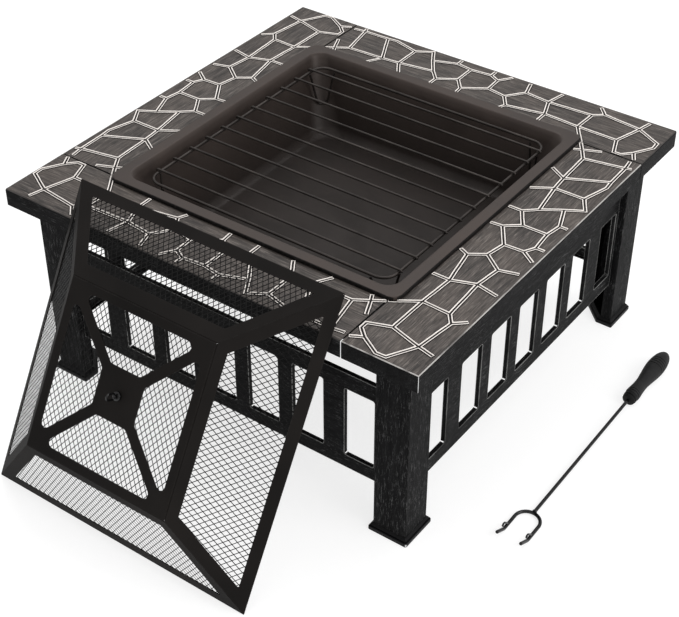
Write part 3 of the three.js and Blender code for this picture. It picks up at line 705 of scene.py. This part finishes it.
# Junctions and ends of the joints in the stone pattern of the right-hand panel, mm.
JOINT_SPOTS = {
    "a": (339, -65), "b": (374, -63), "b_end": (398, -80), "d": (332, -102), "e": (306, -120),
    "e_end": (291, -113), "f": (366, -128), "f_end": (397, -119), "g": (384, -44),
    "g_end": (398, -44), "h": (360, -177), "h_end": (398, -185), "i": (365, -262),
    "j": (320, -192), "j_end": (291, -192), "k": (316, -260), "k_end": (275, -288),
    "l": (379, -280), "l_end": (397, -264), "m": (315, -336), "n": (370, -352),
    "n_end": (397, -358), "p": (278, -350), "q": (278, -363), "r": (295, -379),
    "r_end": (276, -389), "s": (328, -399), "t": (345, -398), "v": (380, -2), "w": (336, -2),
    "y": (311, -22), "y_end": (291, -24), "x": (385, 29), "x_end": (398, 29), "z": (314, 33),
    "z_end": (291, 33), "aa": (335, 52), "ac": (368, 74), "ae": (397, 91), "af": (379, 121),
    "ag": (324, 121), "ag_end": (291, 100), "ai": (321, 156), "ai_end": (291, 174),
    "ah": (393, 171), "ak": (391, 191), "al": (390, 243), "al_end": (399, 246),
    "al_up": (387, 265), "aj": (318, 229), "am": (303, 253), "am_end": (291, 247),
    "am_up": (291, 271), "am_right": (333, 266),
}
JOINTS = (
    "a-b a-d a-y b-b_end b-g d-e d-f e-e_end e-j f-f_end f-h g-g_end g-v h-h_end h-j h-i "
    "j-j_end j-k k-i k-k_end k-m i-l l-l_end l-n n-n_end n-m n-t m-p p-q q-r r-r_end r-s s-t "
    "v-w v-x w-y w-z y-y_end z-z_end z-aa aa-ac aa-ag ac-x ac-ae x-x_end ae-af af-ag af-ah "
    "ag-ag_end ag-ai ai-ai_end ai-ak ai-aj ah-ak ak-al al-al_end al-al_up aj-al aj-am am-am_end "
    "am-am_up am-am_right"
).split()
JOINT_STEP = 9.0  # spacing of the points along a joint
JOINT_WOBBLE = 0.35
JOINT_SEED = 1794909682  # keeps the wobble the same, which Blender seeds from the clock
# Half section of a joint: distance from its middle, height above the panel.
JOINT_SECTION = (
    (0.0, 0.06), (1.6, 0.06), (1.9, 0.85), (2.65, 1.05), (3.4, 0.85), (3.8, 0.12), (4.8, 0.05),
)
# The other bands take the near-black groove colour: between the ridges a dark joint, and on the
# outer slope and foot a painted shadow line.
RIDGE_BANDS = (1, 2, 3)  # the bands of the section that are bright
END_REACH = 0.35  # how far a joint's square end runs on, in offsets
JOINT_LIFT = 0.05
RIDGE_UNEVEN = 0.07
JOINT_SHEET = 0.4


def joint_graph():
    """Points and neighbours of the joint network, with the joints cut into short steps."""
    spots = {key: Vector(value) for key, value in JOINT_SPOTS.items()}
    near = {key: [] for key in spots}
    for joint in JOINTS:
        first, last = joint.split("-")
        start, end = spots[first], spots[last]
        steps = max(1, round((end - start).length / JOINT_STEP))
        chain = [first]
        for step in range(1, steps):
            key = f"{joint}:{step}"
            point = start.lerp(end, step / steps)
            sway = noise.noise_vector(Vector((point.x * 0.05, point.y * 0.05, 0.3)))
            spots[key] = point + Vector((sway.x, sway.y)) * JOINT_WOBBLE
            near[key] = []
            chain.append(key)
        chain.append(last)
        for here, there in zip(chain, chain[1:]):
            near[here].append(there)
            near[there].append(here)
    return spots, near


def joint_loops(spots, near):
    """Closed walks with the joints on the right-hand side, one for each stone and one outside."""
    ordered = {}
    for key, others in near.items():
        def bearing(other, origin=spots[key]):
            arm = spots[other] - origin
            return math.atan2(arm.y, arm.x)
        ordered[key] = sorted(others, key=bearing)
    waiting = {(here, there) for here in near for there in near[here]}
    loops = []
    for start in sorted(waiting):
        if start not in waiting:
            continue
        loop = []
        step = start
        while step in waiting:
            waiting.discard(step)
            loop.append(step)
            here, there = step
            ring = ordered[there]
            step = (there, ring[ring.index(here) - 1])
        loops.append(loop)
    return loops


def corner_spokes(arriving, leaving):
    """Unit-offset directions on the left of a walk that turns from arriving to leaving."""
    left_in = Vector((-arriving.y, arriving.x))
    left_out = Vector((-leaving.y, leaving.x))
    if arriving.dot(leaving) < -0.95:
        on = arriving * END_REACH
        return [left_in + on, on - left_in]
    reach = max(0.25, 1 + left_in.dot(left_out))
    return [(left_in + left_out) / reach]


def joint_mesh(name):
    spots, near = joint_graph()
    build = bmesh.new()
    for loop in joint_loops(spots, near):
        rails = []
        for (before, here), (_, after) in zip(loop, loop[1:] + loop[:1]):
            arriving = (spots[here] - spots[before]).normalized()
            leaving = (spots[after] - spots[here]).normalized()
            for spoke in corner_spokes(arriving, leaving):
                rails.append((spots[here], spoke))
        rows = []
        for middle, spoke in rails:
            row = []
            sway = noise.noise(Vector((middle.x, middle.y, spoke.x)) * 0.21)
            for offset, height in JOINT_SECTION:
                point = middle + spoke * offset * (1 + sway * RIDGE_UNEVEN)
                lift = TABLE_TOP + JOINT_LIFT + height
                row.append(build.verts.new((point.x, point.y, lift)))
            rows.append(row)
        for here, there in zip(rows, rows[1:] + rows[:1]):
            for band in range(len(JOINT_SECTION) - 1):
                corners = (here[band], there[band], there[band + 1], here[band + 1])
                face = build.faces.new(corners)
                face.material_index = 0 if band in RIDGE_BANDS else 1
    bmesh.ops.remove_doubles(build, verts=build.verts[:], dist=1e-3)
    bmesh.ops.dissolve_degenerate(build, edges=build.edges[:], dist=1e-4)
    bmesh.ops.recalc_face_normals(build, faces=build.faces[:])
    if sum(face.normal.z for face in build.faces) < 0:
        bmesh.ops.reverse_faces(build, faces=build.faces[:])
    return mesh_from_bmesh(name, build, outward=False)


def stone_joints():
    noise.seed_set(JOINT_SEED)
    for turn, side in enumerate(SIDES):
        mesh = joint_mesh(f"stone_joints_{side}")
        place = TABLE_PLACE @ quarter_turn(turn)
        add_piece(mesh, place, "table", [], [RIDGE, GROOVE_AND_SHADOW_LINE], 60, JOINT_SHEET)


# -------- legs, caps and aprons


def leg_mesh(name):
    """The front left corner post, with its folds rubbed bright."""
    outer = -LEG_OUTER
    line = [
        (outer + LEG_FACE, outer + LEG_RETURN),
        (outer + LEG_FACE, outer),
        (outer, outer),
        (outer, outer + LEG_FACE),
        (outer + LEG_RETURN, outer + LEG_FACE),
    ]
    path = bent_profile([(x, y, 0) for x, y in line], LEG_BEND)
    build = bmesh.new()
    low = [build.verts.new((p.x, p.y, LEG_BOTTOM)) for p in path]
    high = [build.verts.new((p.x, p.y, LEG_TOP)) for p in path]
    for i in range(len(path) - 1):
        build.faces.new((low[i + 1], low[i], high[i], high[i + 1]))
    mesh = mesh_from_bmesh(name, build, outward=False)
    middle = Vector((outer + LEG_FACE / 2, outer + LEG_FACE / 2, 0))
    if sum((face.center - middle).xy.dot(face.normal.xy) for face in mesh.polygons) < 0:
        mesh.flip_normals()
    for face in mesh.polygons:
        if min(abs(face.normal.x), abs(face.normal.y)) > 0.6:
            face.material_index = 1
    return mesh


def legs():
    for turn, corner in enumerate(CORNERS):
        mesh = leg_mesh(f"leg_post_{corner}")
        place = TABLE_PLACE @ quarter_turn(turn + 1)
        finishes = [LEG_BLACK, LEG_EDGE]
        add_piece(mesh, place, "table", [f"leg_{corner}"], finishes, 50, SHEET)


def cap_ring(step, height):
    """Outline of the front left cap at a distance outside the leg."""
    outer = -LEG_OUTER
    end = LEG_FACE + step
    shoulder = LEG_RETURN + step
    corners = [(-step, -step), (end, -step), (end, shoulder), (shoulder, end), (-step, end)]
    corners = [Vector((outer + x, outer + y)) for x, y in corners]
    radius = max(0.4, 1.2 + step * 0.25)
    return [Vector((p.x, p.y, height)) for p in rounded_polygon(corners, radius, 5)]


def foot_caps():
    """Stepped plastic caps: a rim on the floor, a waist and a neck round the leg."""
    rim = CAP_RIM_STEP
    neck = CAP_NECK_STEP
    sections = [  # distance outside the leg, height
        (rim - 1.2, 0.0), (rim - 0.3, 0.4), (rim, 1.3), (rim, 6.6), (rim - 0.3, 7.4),
        (rim - 1.2, 7.8), (neck - 0.9, 7.9), (neck - 1.2, 8.5), (neck - 0.9, 9.2),
        (neck - 0.1, 9.4), (neck, 10.0), (neck - 0.3, 10.9), (0.9, 13.4), (0.5, 14.0),
        (0.3, 13.9), (0.3, CAP_FLOOR),
    ]
    for turn, corner in enumerate(CORNERS):
        rings = [cap_ring(step, height) for step, height in sections]
        mesh = mesh_from_rings(f"foot_plug_{corner}", rings)
        cap_arris(mesh)
        place = TABLE_PLACE @ quarter_turn(turn + 1)
        add_piece(mesh, place, "table", [f"foot_cap_{corner}"], [CAP, LEG_EDGE], 50)


def cap_arris(mesh):
    """The foot's outer corner below the ledge takes the bright silver of the leg's folds."""
    for face in mesh.polygons:
        outward = -(face.normal.x + face.normal.y) / math.sqrt(2)
        low = 1.0 < face.center.z < 7.0
        if low and outward > 0.93 and abs(face.normal.z) < 0.3:
            face.material_index = 1


def repaint(node, material, bevel=0.4):
    """A CAD node that stays: welded and softly bevelled on show, with a better material."""
    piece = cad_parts[node]
    piece.data.materials.clear()
    piece.data.materials.append(material)
    weld = piece.modifiers.new("weld", "WELD")
    weld.merge_threshold = WELD_REACH * MM
    soft = piece.modifiers.new("soft_edges", "BEVEL")
    soft.width = bevel * MM
    soft.segments = 2
    soft.limit_method = "ANGLE"
    soft.angle_limit = math.radians(35)
    soft.use_clamp_overlap = True


def kept_table_nodes():
    for turn, side in enumerate(SIDES):
        repaint(f"apron_{side}", APRON_BLACK[side_axis(turn)])
    for corner in CORNERS:
        repaint(f"corner_bracket_{corner}", APRON_BLACK[ALONG_X])


# -------- bowl


def bowl():
    """The pressed pan: soft bends, a flat rim and a turned-down edge round it."""
    inside = [  # half width, corner radius, height
        (196.0, 50.0, BOWL_FLOOR),
        (216.0, 46.0, BOWL_FLOOR + 0.6),
        (226.0, 43.0, BOWL_FLOOR + 9.0),
        (263.4, 25.0, RIM_FACE - 5.5),
        (266.6, 24.0, RIM_FACE),
        (RIM_HALF, 20.0, RIM_FACE),
        (RIM_HALF, 20.0, RIM_FOOT),
    ]
    inside = bent_profile(inside, 6.0, 5)
    inside[-1] = Vector((RIM_HALF, 20.0, RIM_FOOT))
    outside = []
    for i, point in enumerate(inside):
        before = inside[max(i - 1, 0)]
        after = inside[min(i + 1, len(inside) - 1)]
        along = Vector((after.x - before.x, after.z - before.z)).normalized()
        away = Vector((along.y, -along.x))
        radius = max(point.y + away.x * SHEET, 0.5)
        outside.append(Vector((point.x + away.x * SHEET, radius, point.z + away.y * SHEET)))
    profile = [Vector((4.0, 1.5, BOWL_FLOOR))] + inside
    back = [Vector((4.0, 1.5, BOWL_FLOOR - SHEET))] + outside
    rings = [square_ring(*p) for p in profile] + [square_ring(*p) for p in reversed(back)]
    mesh = mesh_from_rings("bowl_pan", rings)
    # The turned-down edge round the rim takes the near-black painted shade.
    for face in mesh.polygons:
        out = max(abs(face.center.x), abs(face.center.y))
        if out > RIM_HALF - RIM_BEND and face.normal.z < 0.93:
            face.material_index = 1
    add_piece(mesh, TABLE_PLACE, "bowl", ["bowl"], [BRONZE, RIM_EDGE_PAINTED_SHADE], 40)


# -------- grate


def grate_rod(name, path, radii, normal, node, closed=False):
    mesh = mesh_from_rings(name, swept(path, radii, 16, normal, closed), closed)
    add_piece(mesh, TABLE_PLACE, "grate", [node], [WIRE], 50)


def grate_foot_path(turn):
    """The bent wire under one corner, read off the box of its CAD node."""
    bottom = (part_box("grate_foot_front_left")[0].z / MM) + CROSS_ROD
    top = GRATE_Z - FRAME_ROD - PIECE_GAP - CROSS_ROD
    out = 318.5  # from the bowl's middle to the foot, along the diagonal
    weld = GRATE_HALF * math.sqrt(2) - out
    stand = 9.0
    line = [
        (weld, top), (weld - 2, top - 6), (stand + 1, bottom + 6), (stand - 4, bottom),
        (-stand + 4, bottom), (-stand - 1, bottom + 6), (-weld + 2, top - 6), (-weld, top),
    ]
    outward = Vector((-1, -1, 0)).normalized()
    along = Vector((1, -1, 0)).normalized()
    points = [outward * out + along * spread + UP * height for spread, height in line]
    points = bent_profile(points, 5.0, 5)
    spin = quarter_turn(turn + 1).to_3x3()
    return [spin @ p for p in points], spin @ outward


def grate():
    frame_path = square_ring(GRATE_HALF, GRATE_CORNER, GRATE_Z)
    grate_rod("frame_rod", frame_path, FRAME_ROD, UP, "grate_frame", closed=True)
    height = GRATE_Z + FRAME_ROD + PIECE_GAP + CROSS_ROD
    bend = 4.0
    welds = []
    for i in range(CROSS_COUNT):
        y = (i - (CROSS_COUNT - 1) / 2) * CROSS_PITCH
        centre = Vector((GRATE_HALF + 1.5, y, height - bend))
        right = arc(centre, bend, RIGHT, UP, 90, 10, 6)
        left = [Vector((-p.x, p.y, p.z)) for p in reversed(right)]
        radii = [CROSS_ROD * 0.8] + [CROSS_ROD] * (len(right) * 2 - 2) + [CROSS_ROD * 0.8]
        number = f"{i + 1:02d}"
        grate_rod(f"cross_rod_{number}", left + right, radii, BACK, f"grate_wire_{number}")
        welds += [Vector((side * GRATE_HALF, y, 0)) for side in (-1, 1)]
    for turn, corner in enumerate(CORNERS):
        path, normal = grate_foot_path(turn)
        grate_rod(f"foot_rod_{corner}", path, CROSS_ROD, normal, f"grate_foot_{corner}")
    grate_welds(welds)


def grate_welds(spots):
    """Small beads where the cross wires are welded to the frame."""
    build = bmesh.new()
    middle = GRATE_Z + FRAME_ROD + PIECE_GAP / 2
    for spot in spots:
        size = Matrix.Diagonal((2.6, 3.1, 1.3, 1.0))
        place = Matrix.Translation((spot.x, spot.y, middle)) @ size
        bmesh.ops.create_icosphere(build, subdivisions=2, radius=1.0, matrix=place)
    mesh = mesh_from_bmesh("weld_beads", build)
    add_piece(mesh, TABLE_PLACE, "grate", [], [WIRE], 80)


# -------- lid


def strand_ring(point, across, outward):
    """Four corners of a flat strand, tilted as expanded metal is."""
    wide = across * math.cos(STRAND_TILT) + outward * math.sin(STRAND_TILT)
    thick = outward * math.cos(STRAND_TILT) - across * math.sin(STRAND_TILT)
    wide = wide * (STRAND_WIDE / 2)
    thick = thick * (STRAND_THICK / 2)
    return [point + wide + thick, point - wide + thick, point - wide - thick, point + wide - thick]


def diamond_mesh(name, reach, limits, to_lid, across, outward, hole=0.0):
    """Expanded metal: zigzag strands that touch at every other bend.

    reach is the half width, and limits(u) the lowest and highest v of the sheet at u.
    """
    points = []
    faces = []
    column_gap = DIAMOND_WIDE / 2
    step = DIAMOND_TALL / 2
    columns = int(reach // column_gap)
    for column in range(-columns, columns + 1):
        low, high = limits(column * column_gap)
        first = math.ceil(low / step)
        last = math.floor(high / step)
        run = []
        for k in range(first, last + 1):
            swing = 0.5 if (column + k) % 2 == 0 else -0.5
            u = (column + swing) * column_gap
            v = k * step
            if math.hypot(u, v) < hole:
                add_strand(points, faces, run)
                run = []
                continue
            run.append(strand_ring(to_lid(u, v), across, outward))
        add_strand(points, faces, run)
    return mesh_from_faces(name, points, faces)


def add_strand(points, faces, rings):
    if len(rings) < 2:
        return
    start = len(points)
    for ring in rings:
        points.extend(ring)
    for band in range(len(rings) - 1):
        here = start + band * 4
        for i in range(4):
            j = (i + 1) % 4
            faces.append((here + i, here + j, here + 4 + j, here + 4 + i))
    faces.append(tuple(start + i for i in (3, 2, 1, 0)))
    end = start + (len(rings) - 1) * 4
    faces.append(tuple(end + i for i in range(4)))


def side_mesh(name):
    """Mesh behind the lower side window, in the lid's own frame."""
    slope = Vector((0, LID_RUN, LID_DEPTH)).normalized()
    outward = Vector((0, -LID_DEPTH, LID_RUN)).normalized()
    base = Vector((0, -LID_BASE_HALF, 0)) - outward * MESH_DEEP
    reach = LID_BASE_HALF - MESH_MARGIN

    def to_lid(u, v):
        return base + RIGHT * u + slope * v

    def limits(u):
        room = (reach - abs(u)) * LID_SLANT / LID_RUN
        return MESH_FOOT, min(LID_SLANT - MESH_HEAD, room)

    return diamond_mesh(name, reach, limits, to_lid, RIGHT, outward)


def plate_mesh(name):
    half = LID_PLATE_HALF - PLATE_MARGIN
    depth = LID_DEPTH - MESH_DEEP

    def to_lid(u, v):
        return Vector((u, v, depth))

    def limits(_):
        return -half, half

    return diamond_mesh(name, half, limits, to_lid, RIGHT, UP, MESH_HOLE)


def lid_meshes():
    for turn, side in enumerate(LID_SIDES):
        mesh = side_mesh(f"diamond_mesh_{side}")
        place = LID_PLACE @ quarter_turn(turn)
        add_piece(mesh, place, "lid", [f"lid_side_mesh_{side}"], [MESH], 20)
    mesh = plate_mesh("diamond_mesh_plate")
    add_piece(mesh, LID_PLACE, "lid", ["lid_plate_mesh"], [MESH], 20)


def lifting_eye():
    """A bent rod eye on a stem, with a turned collar on the hub."""
    rod = 1.7
    bend = 5.0
    straight = 8.0
    stem_top = LID_DEPTH + 8.0
    high = Vector((0, 0, stem_top + bend + straight))
    low = Vector((0, 0, stem_top + bend))
    path = arc(high, bend, BACK, UP, 0, 180, 14) + arc(low, bend, BACK, UP, 180, 360, 14)
    loop = mesh_from_rings("eye_loop", swept(path, rod, 14, RIGHT, True), True)
    stem_path = [Vector((0, 0, z)) for z in (LID_DEPTH - 14, LID_DEPTH - 13.3, stem_top + 0.5)]
    stem = mesh_from_rings("eye_stem", swept(stem_path, [2.3, 3.0, 2.6], 20, BACK))
    mesh = joined("eye_rod", (loop, stem))
    add_piece(mesh, LID_PLACE, "lid", ["lid_lifting_eye"], [POKER], 50)
    base = LID_DEPTH + PIECE_GAP
    profile = [
        (3.2, base), (6.9, base), (7.4, base + 0.4), (7.5, base + 1.0), (7.5, base + 3.0),
        (7.2, base + 3.7), (6.4, base + 4.3), (5.2, base + 4.8), (3.4, base + 5.0),
    ]
    stand = Matrix.Rotation(math.pi / 2, 4, "X")
    rings = [[stand @ p for p in ring] for ring in turned(profile, 40)]
    collar = mesh_from_rings("eye_washer", rings)
    add_piece(collar, LID_PLACE, "lid", ["lid_eye_collar"], [POKER], 35)


def seam_welds():
    """Weld beads that fill the inner corners where the plate and the side frames meet."""
    side = Vector((LID_DEPTH, 0, LID_RUN)) / LID_SLANT
    other = Vector((0, LID_DEPTH, LID_RUN)) / LID_SLANT
    under_plate = (UP + side) * (SHEET / (1 + UP.dot(side)))
    under_hip = (side + other) * (SHEET / (1 + side.dot(other)))
    ring = square_ring(LID_PLATE_HALF - under_plate.x, WELD_ROD, LID_DEPTH - under_plate.z, 4)
    beads = [mesh_from_rings("plate_weld", swept(ring, WELD_ROD, 10, UP, True), True)]
    hip_top = Vector((LID_PLATE_HALF, LID_PLATE_HALF, LID_DEPTH)) - under_hip
    hip_foot = Vector((LID_BASE_HALF, LID_BASE_HALF, 0)) - under_hip
    for turn in range(len(SIDES)):
        spin = quarter_turn(turn).to_3x3()
        hip = [spin @ hip_top.lerp(hip_foot, share) for share in (0.01, 0.5, 0.98)]
        beads.append(mesh_from_rings("hip_weld", swept(hip, WELD_ROD, 10, UP)))
    mesh = joined("seam_welds", beads)
    add_piece(mesh, LID_PLACE, "lid", [], [LID], 60)


def kept_lid_nodes():
    for side in LID_SIDES:
        repaint(f"lid_side_frame_{side}", LID, LID_BEVEL)
    repaint("lid_plate", LID, LID_BEVEL)
    repaint("lid_eye_nut", POKER)


# -------- poker


def poker_piece(mesh, replaced, materials, smooth=50):
    add_piece(mesh, POKER_PLACE, "poker", [replaced], materials, smooth)


def poker_fork():
    """Two tines bent up at their tips, and the round bend that joins them."""
    turn = math.radians(TINE_TURN)
    reach = TINE_TIP * math.cos(turn) + TINE_HOOK * math.sin(turn)
    hook_centre = Vector((FORK_HALF, reach, TINE_HOOK))
    hook = arc(hook_centre, TINE_HOOK, BACK, UP, 270 - TINE_TURN, 270, 10)
    tip_arm = Vector((0, -math.cos(turn), math.sin(turn)))
    right = [hook[0] + tip_arm * length for length in (TINE_TIP, TINE_TIP - 0.9, TINE_TIP - 2.2)]
    right += hook
    left = [Vector((-p.x, p.y, p.z)) for p in reversed(right)]
    bend_centre = Vector((0, FORK_LENGTH - FORK_HALF - POKER_ROD, 0))
    path = right + arc(bend_centre, FORK_HALF, RIGHT, BACK, 0, 180, 28) + left
    radii = [POKER_ROD] * len(path)
    for i, radius in enumerate((1.9, 2.7)):
        radii[i] = radius
        radii[-1 - i] = radius
    fork = mesh_from_rings("fork_rod", swept(path, radii, 18, RIGHT))
    poker_piece(fork, "poker_fork", [POKER])


def poker_barbs():
    """A small bent hook that stands on each tine."""
    lean = math.radians(BARB_LEAN)
    arm = Vector((0, -math.cos(lean), math.sin(lean)))
    spoke = Vector((0, math.sin(lean), math.cos(lean)))
    start = 90 - BARB_LEAN
    for name, x in (("left", -FORK_HALF), ("right", FORK_HALF)):
        rise = POKER_ROD + PIECE_GAP + BARB_ROD * math.cos(lean)
        foot = Vector((x, BARB_FROM_TIP, rise))
        bend_centre = foot + arm * BARB_STRAIGHT - spoke * BARB_BEND
        bend = arc(bend_centre, BARB_BEND, BACK, UP, start, start + BARB_TURN, 16)
        path = [foot - arm * 0.8, foot + arm * 0.8, foot + arm * 2.2] + bend
        radii = [2.3, 2.0, BARB_ROD] + [BARB_ROD] * 15 + [1.45, 0.9]
        hook = mesh_from_rings(f"barb_hook_{name}", swept(path, radii, 14, RIGHT))
        poker_piece(hook, f"poker_barb_{name}", [POKER])


def poker_shaft():
    """The straight rod, with a weld bead where it meets the fork."""
    start = FORK_LENGTH - 1.0
    end = FORK_LENGTH + PIECE_GAP + SHAFT_LENGTH
    profile = [(0, start), (2.4, start), (3.9, start + 1.0), (4.1, start + 2.2)]
    profile += [(3.4, start + 3.6), (POKER_ROD, start + 5.0), (POKER_ROD, end), (0, end)]
    mesh = mesh_from_rings("shaft_rod", turned(profile, 20))
    poker_piece(mesh, "poker_shaft", [POKER])


def poker_ferrule():
    start = FORK_LENGTH + PIECE_GAP * 2 + SHAFT_LENGTH
    outline = [  # radius, distance
        (3.1, 0), (8.4, 0), (9.2, 0.5), (10.2, 1.2), (11.4, 2.2), (11.6, 3.0), (11.4, 4.4),
        (10.4, 5.2), (10.3, 5.8), (11.6, 6.4), (12.4, 7.2), (12.5, 8.2), (12.5, 10.0),
        (12.1, 10.9), (11.4, 11.4), (11.3, 12.0), (3.1, 12.0),
    ]
    mesh = mesh_from_rings("grip_ferrule", turned([(r, start + d) for r, d in outline]))
    poker_piece(mesh, "poker_ferrule", [FERRULE_AND_GROOVE_SHADE], 30)


HANDLE_OUTLINE = (  # distance, radius
    (0, 11.9), (1.5, 12.6), (5, 13.3), (9, 13.2), (14, 12.8), (21, 12.15), (30, 11.6),
    (36, 11.5), (42, 11.6), (47, 12.0), (52, 12.6), (59, 13.5), (66, 14.4), (73, 15.35),
    (80, 16.1), (86, 16.55), (91, 16.7), (96, 16.65), (102, 16.35), (108, 15.8),
    (113, 15.05), (118, 14.1), (123, 12.75), (127, 11.1), (131, 8.95), (133.8, 6.7),
    (135.7, 4.4), (136.7, 2.2), (137, 0.4),
)
HANDLE_GROOVES = (4.0, 9.0, 86.0, 92.0, 98.0, 104.0)
GROOVE_HALF = 1.0
GROOVE_DEPTH = 0.9
HANDLE_END = 126  # where the fine steps of the rounded end begin


def groove_distance(distance):
    return min(abs(distance - groove) for groove in HANDLE_GROOVES)


def handle_radius(distance):
    """Radius of the handle at a distance, on a smooth line through the outline."""
    radius = HANDLE_OUTLINE[-1][1]
    for (d0, r0), (d1, r1) in zip(HANDLE_OUTLINE, HANDLE_OUTLINE[1:]):
        if d0 <= distance <= d1:
            radius = r0 + (r1 - r0) * (distance - d0) / (d1 - d0)
            break
    return radius - GROOVE_DEPTH * max(0.0, 1 - groove_distance(distance) / GROOVE_HALF)


def poker_handle():
    """The turned grip, with grooves round it painted in the darker ferrule rubber as painted
    shade.
    """
    begin = FORK_LENGTH + PIECE_GAP * 3 + SHAFT_LENGTH + FERRULE_LENGTH
    profile = [(0, begin)]
    distance = 0.0
    while distance <= HANDLE_LENGTH:
        profile.append((handle_radius(distance), begin + distance))
        fine = groove_distance(distance) < 1.3 or distance > HANDLE_END
        distance += 0.25 if fine else 1.0
    profile.append((0, begin + HANDLE_LENGTH))
    mesh = mesh_from_rings("grip_handle", turned(profile))
    # Painted shade: the grooves take the darker rubber of the ferrule.
    for face in mesh.polygons:
        if groove_distance(face.center.y - begin) < GROOVE_HALF:
            face.material_index = 1
    poker_piece(mesh, "poker_handle", [HANDLE, FERRULE_AND_GROOVE_SHADE], 60)


# -------- stage


def camera():
    """The photograph's viewpoint: from the front right, a little above the table."""
    data = bpy.data.cameras.new("camera")
    data.sensor_width = 36.0
    data.lens = 79.8
    data.clip_start = 0.05
    data.clip_end = 50.0
    eye = new_object("camera", data)
    eye.location = TABLE_ORIGIN + Vector((1.250, -1.763, 1.740))
    eye.rotation_euler = (math.radians(90 - 37.75), 0, math.radians(35.83))
    bpy.context.scene.camera = eye


def area_light(name, place, target, size, power):
    data = bpy.data.lights.new(name, "AREA")
    data.shape = "RECTANGLE"
    data.size = size
    data.size_y = size
    data.energy = power
    lamp = new_object(name, data)
    lamp.location = place
    lamp.rotation_euler = (Vector(target) - Vector(place)).to_track_quat("-Z", "Y").to_euler()


def stage():
    """A pale floor, a white world and two soft lamps."""
    mesh = bpy.data.meshes.new("floor")
    corners = [(x * FLOOR_REACH, y * FLOOR_REACH, 0) for x, y in SQUARE]
    mesh.from_pydata(corners, [], [(0, 1, 2, 3)])
    mesh.materials.append(pale_floor())
    new_object("floor", mesh)

    world = bpy.data.worlds.new("studio")
    world.use_nodes = True
    background = world.node_tree.nodes["Background"]
    background.inputs["Color"].default_value = (1.0, 1.0, 1.0, 1.0)
    background.inputs["Strength"].default_value = 0.75
    bpy.context.scene.world = world
    area_light("key_light", (3.2, 0.0, 2.2), (0, 0, 0.2), 2.0, 50)
    area_light("top_light", (-0.8, 1.4, 3.4), (0, 0, 0.3), 2.6, 45)
    bpy.context.scene.view_settings.view_transform = "Standard"


top_panels()
stone_joints()
legs()
foot_caps()
kept_table_nodes()
bowl()
grate()
lid_meshes()
lifting_eye()
seam_welds()
kept_lid_nodes()
poker_fork()
poker_barbs()
poker_shaft()
poker_ferrule()
poker_handle()
stage()
camera()
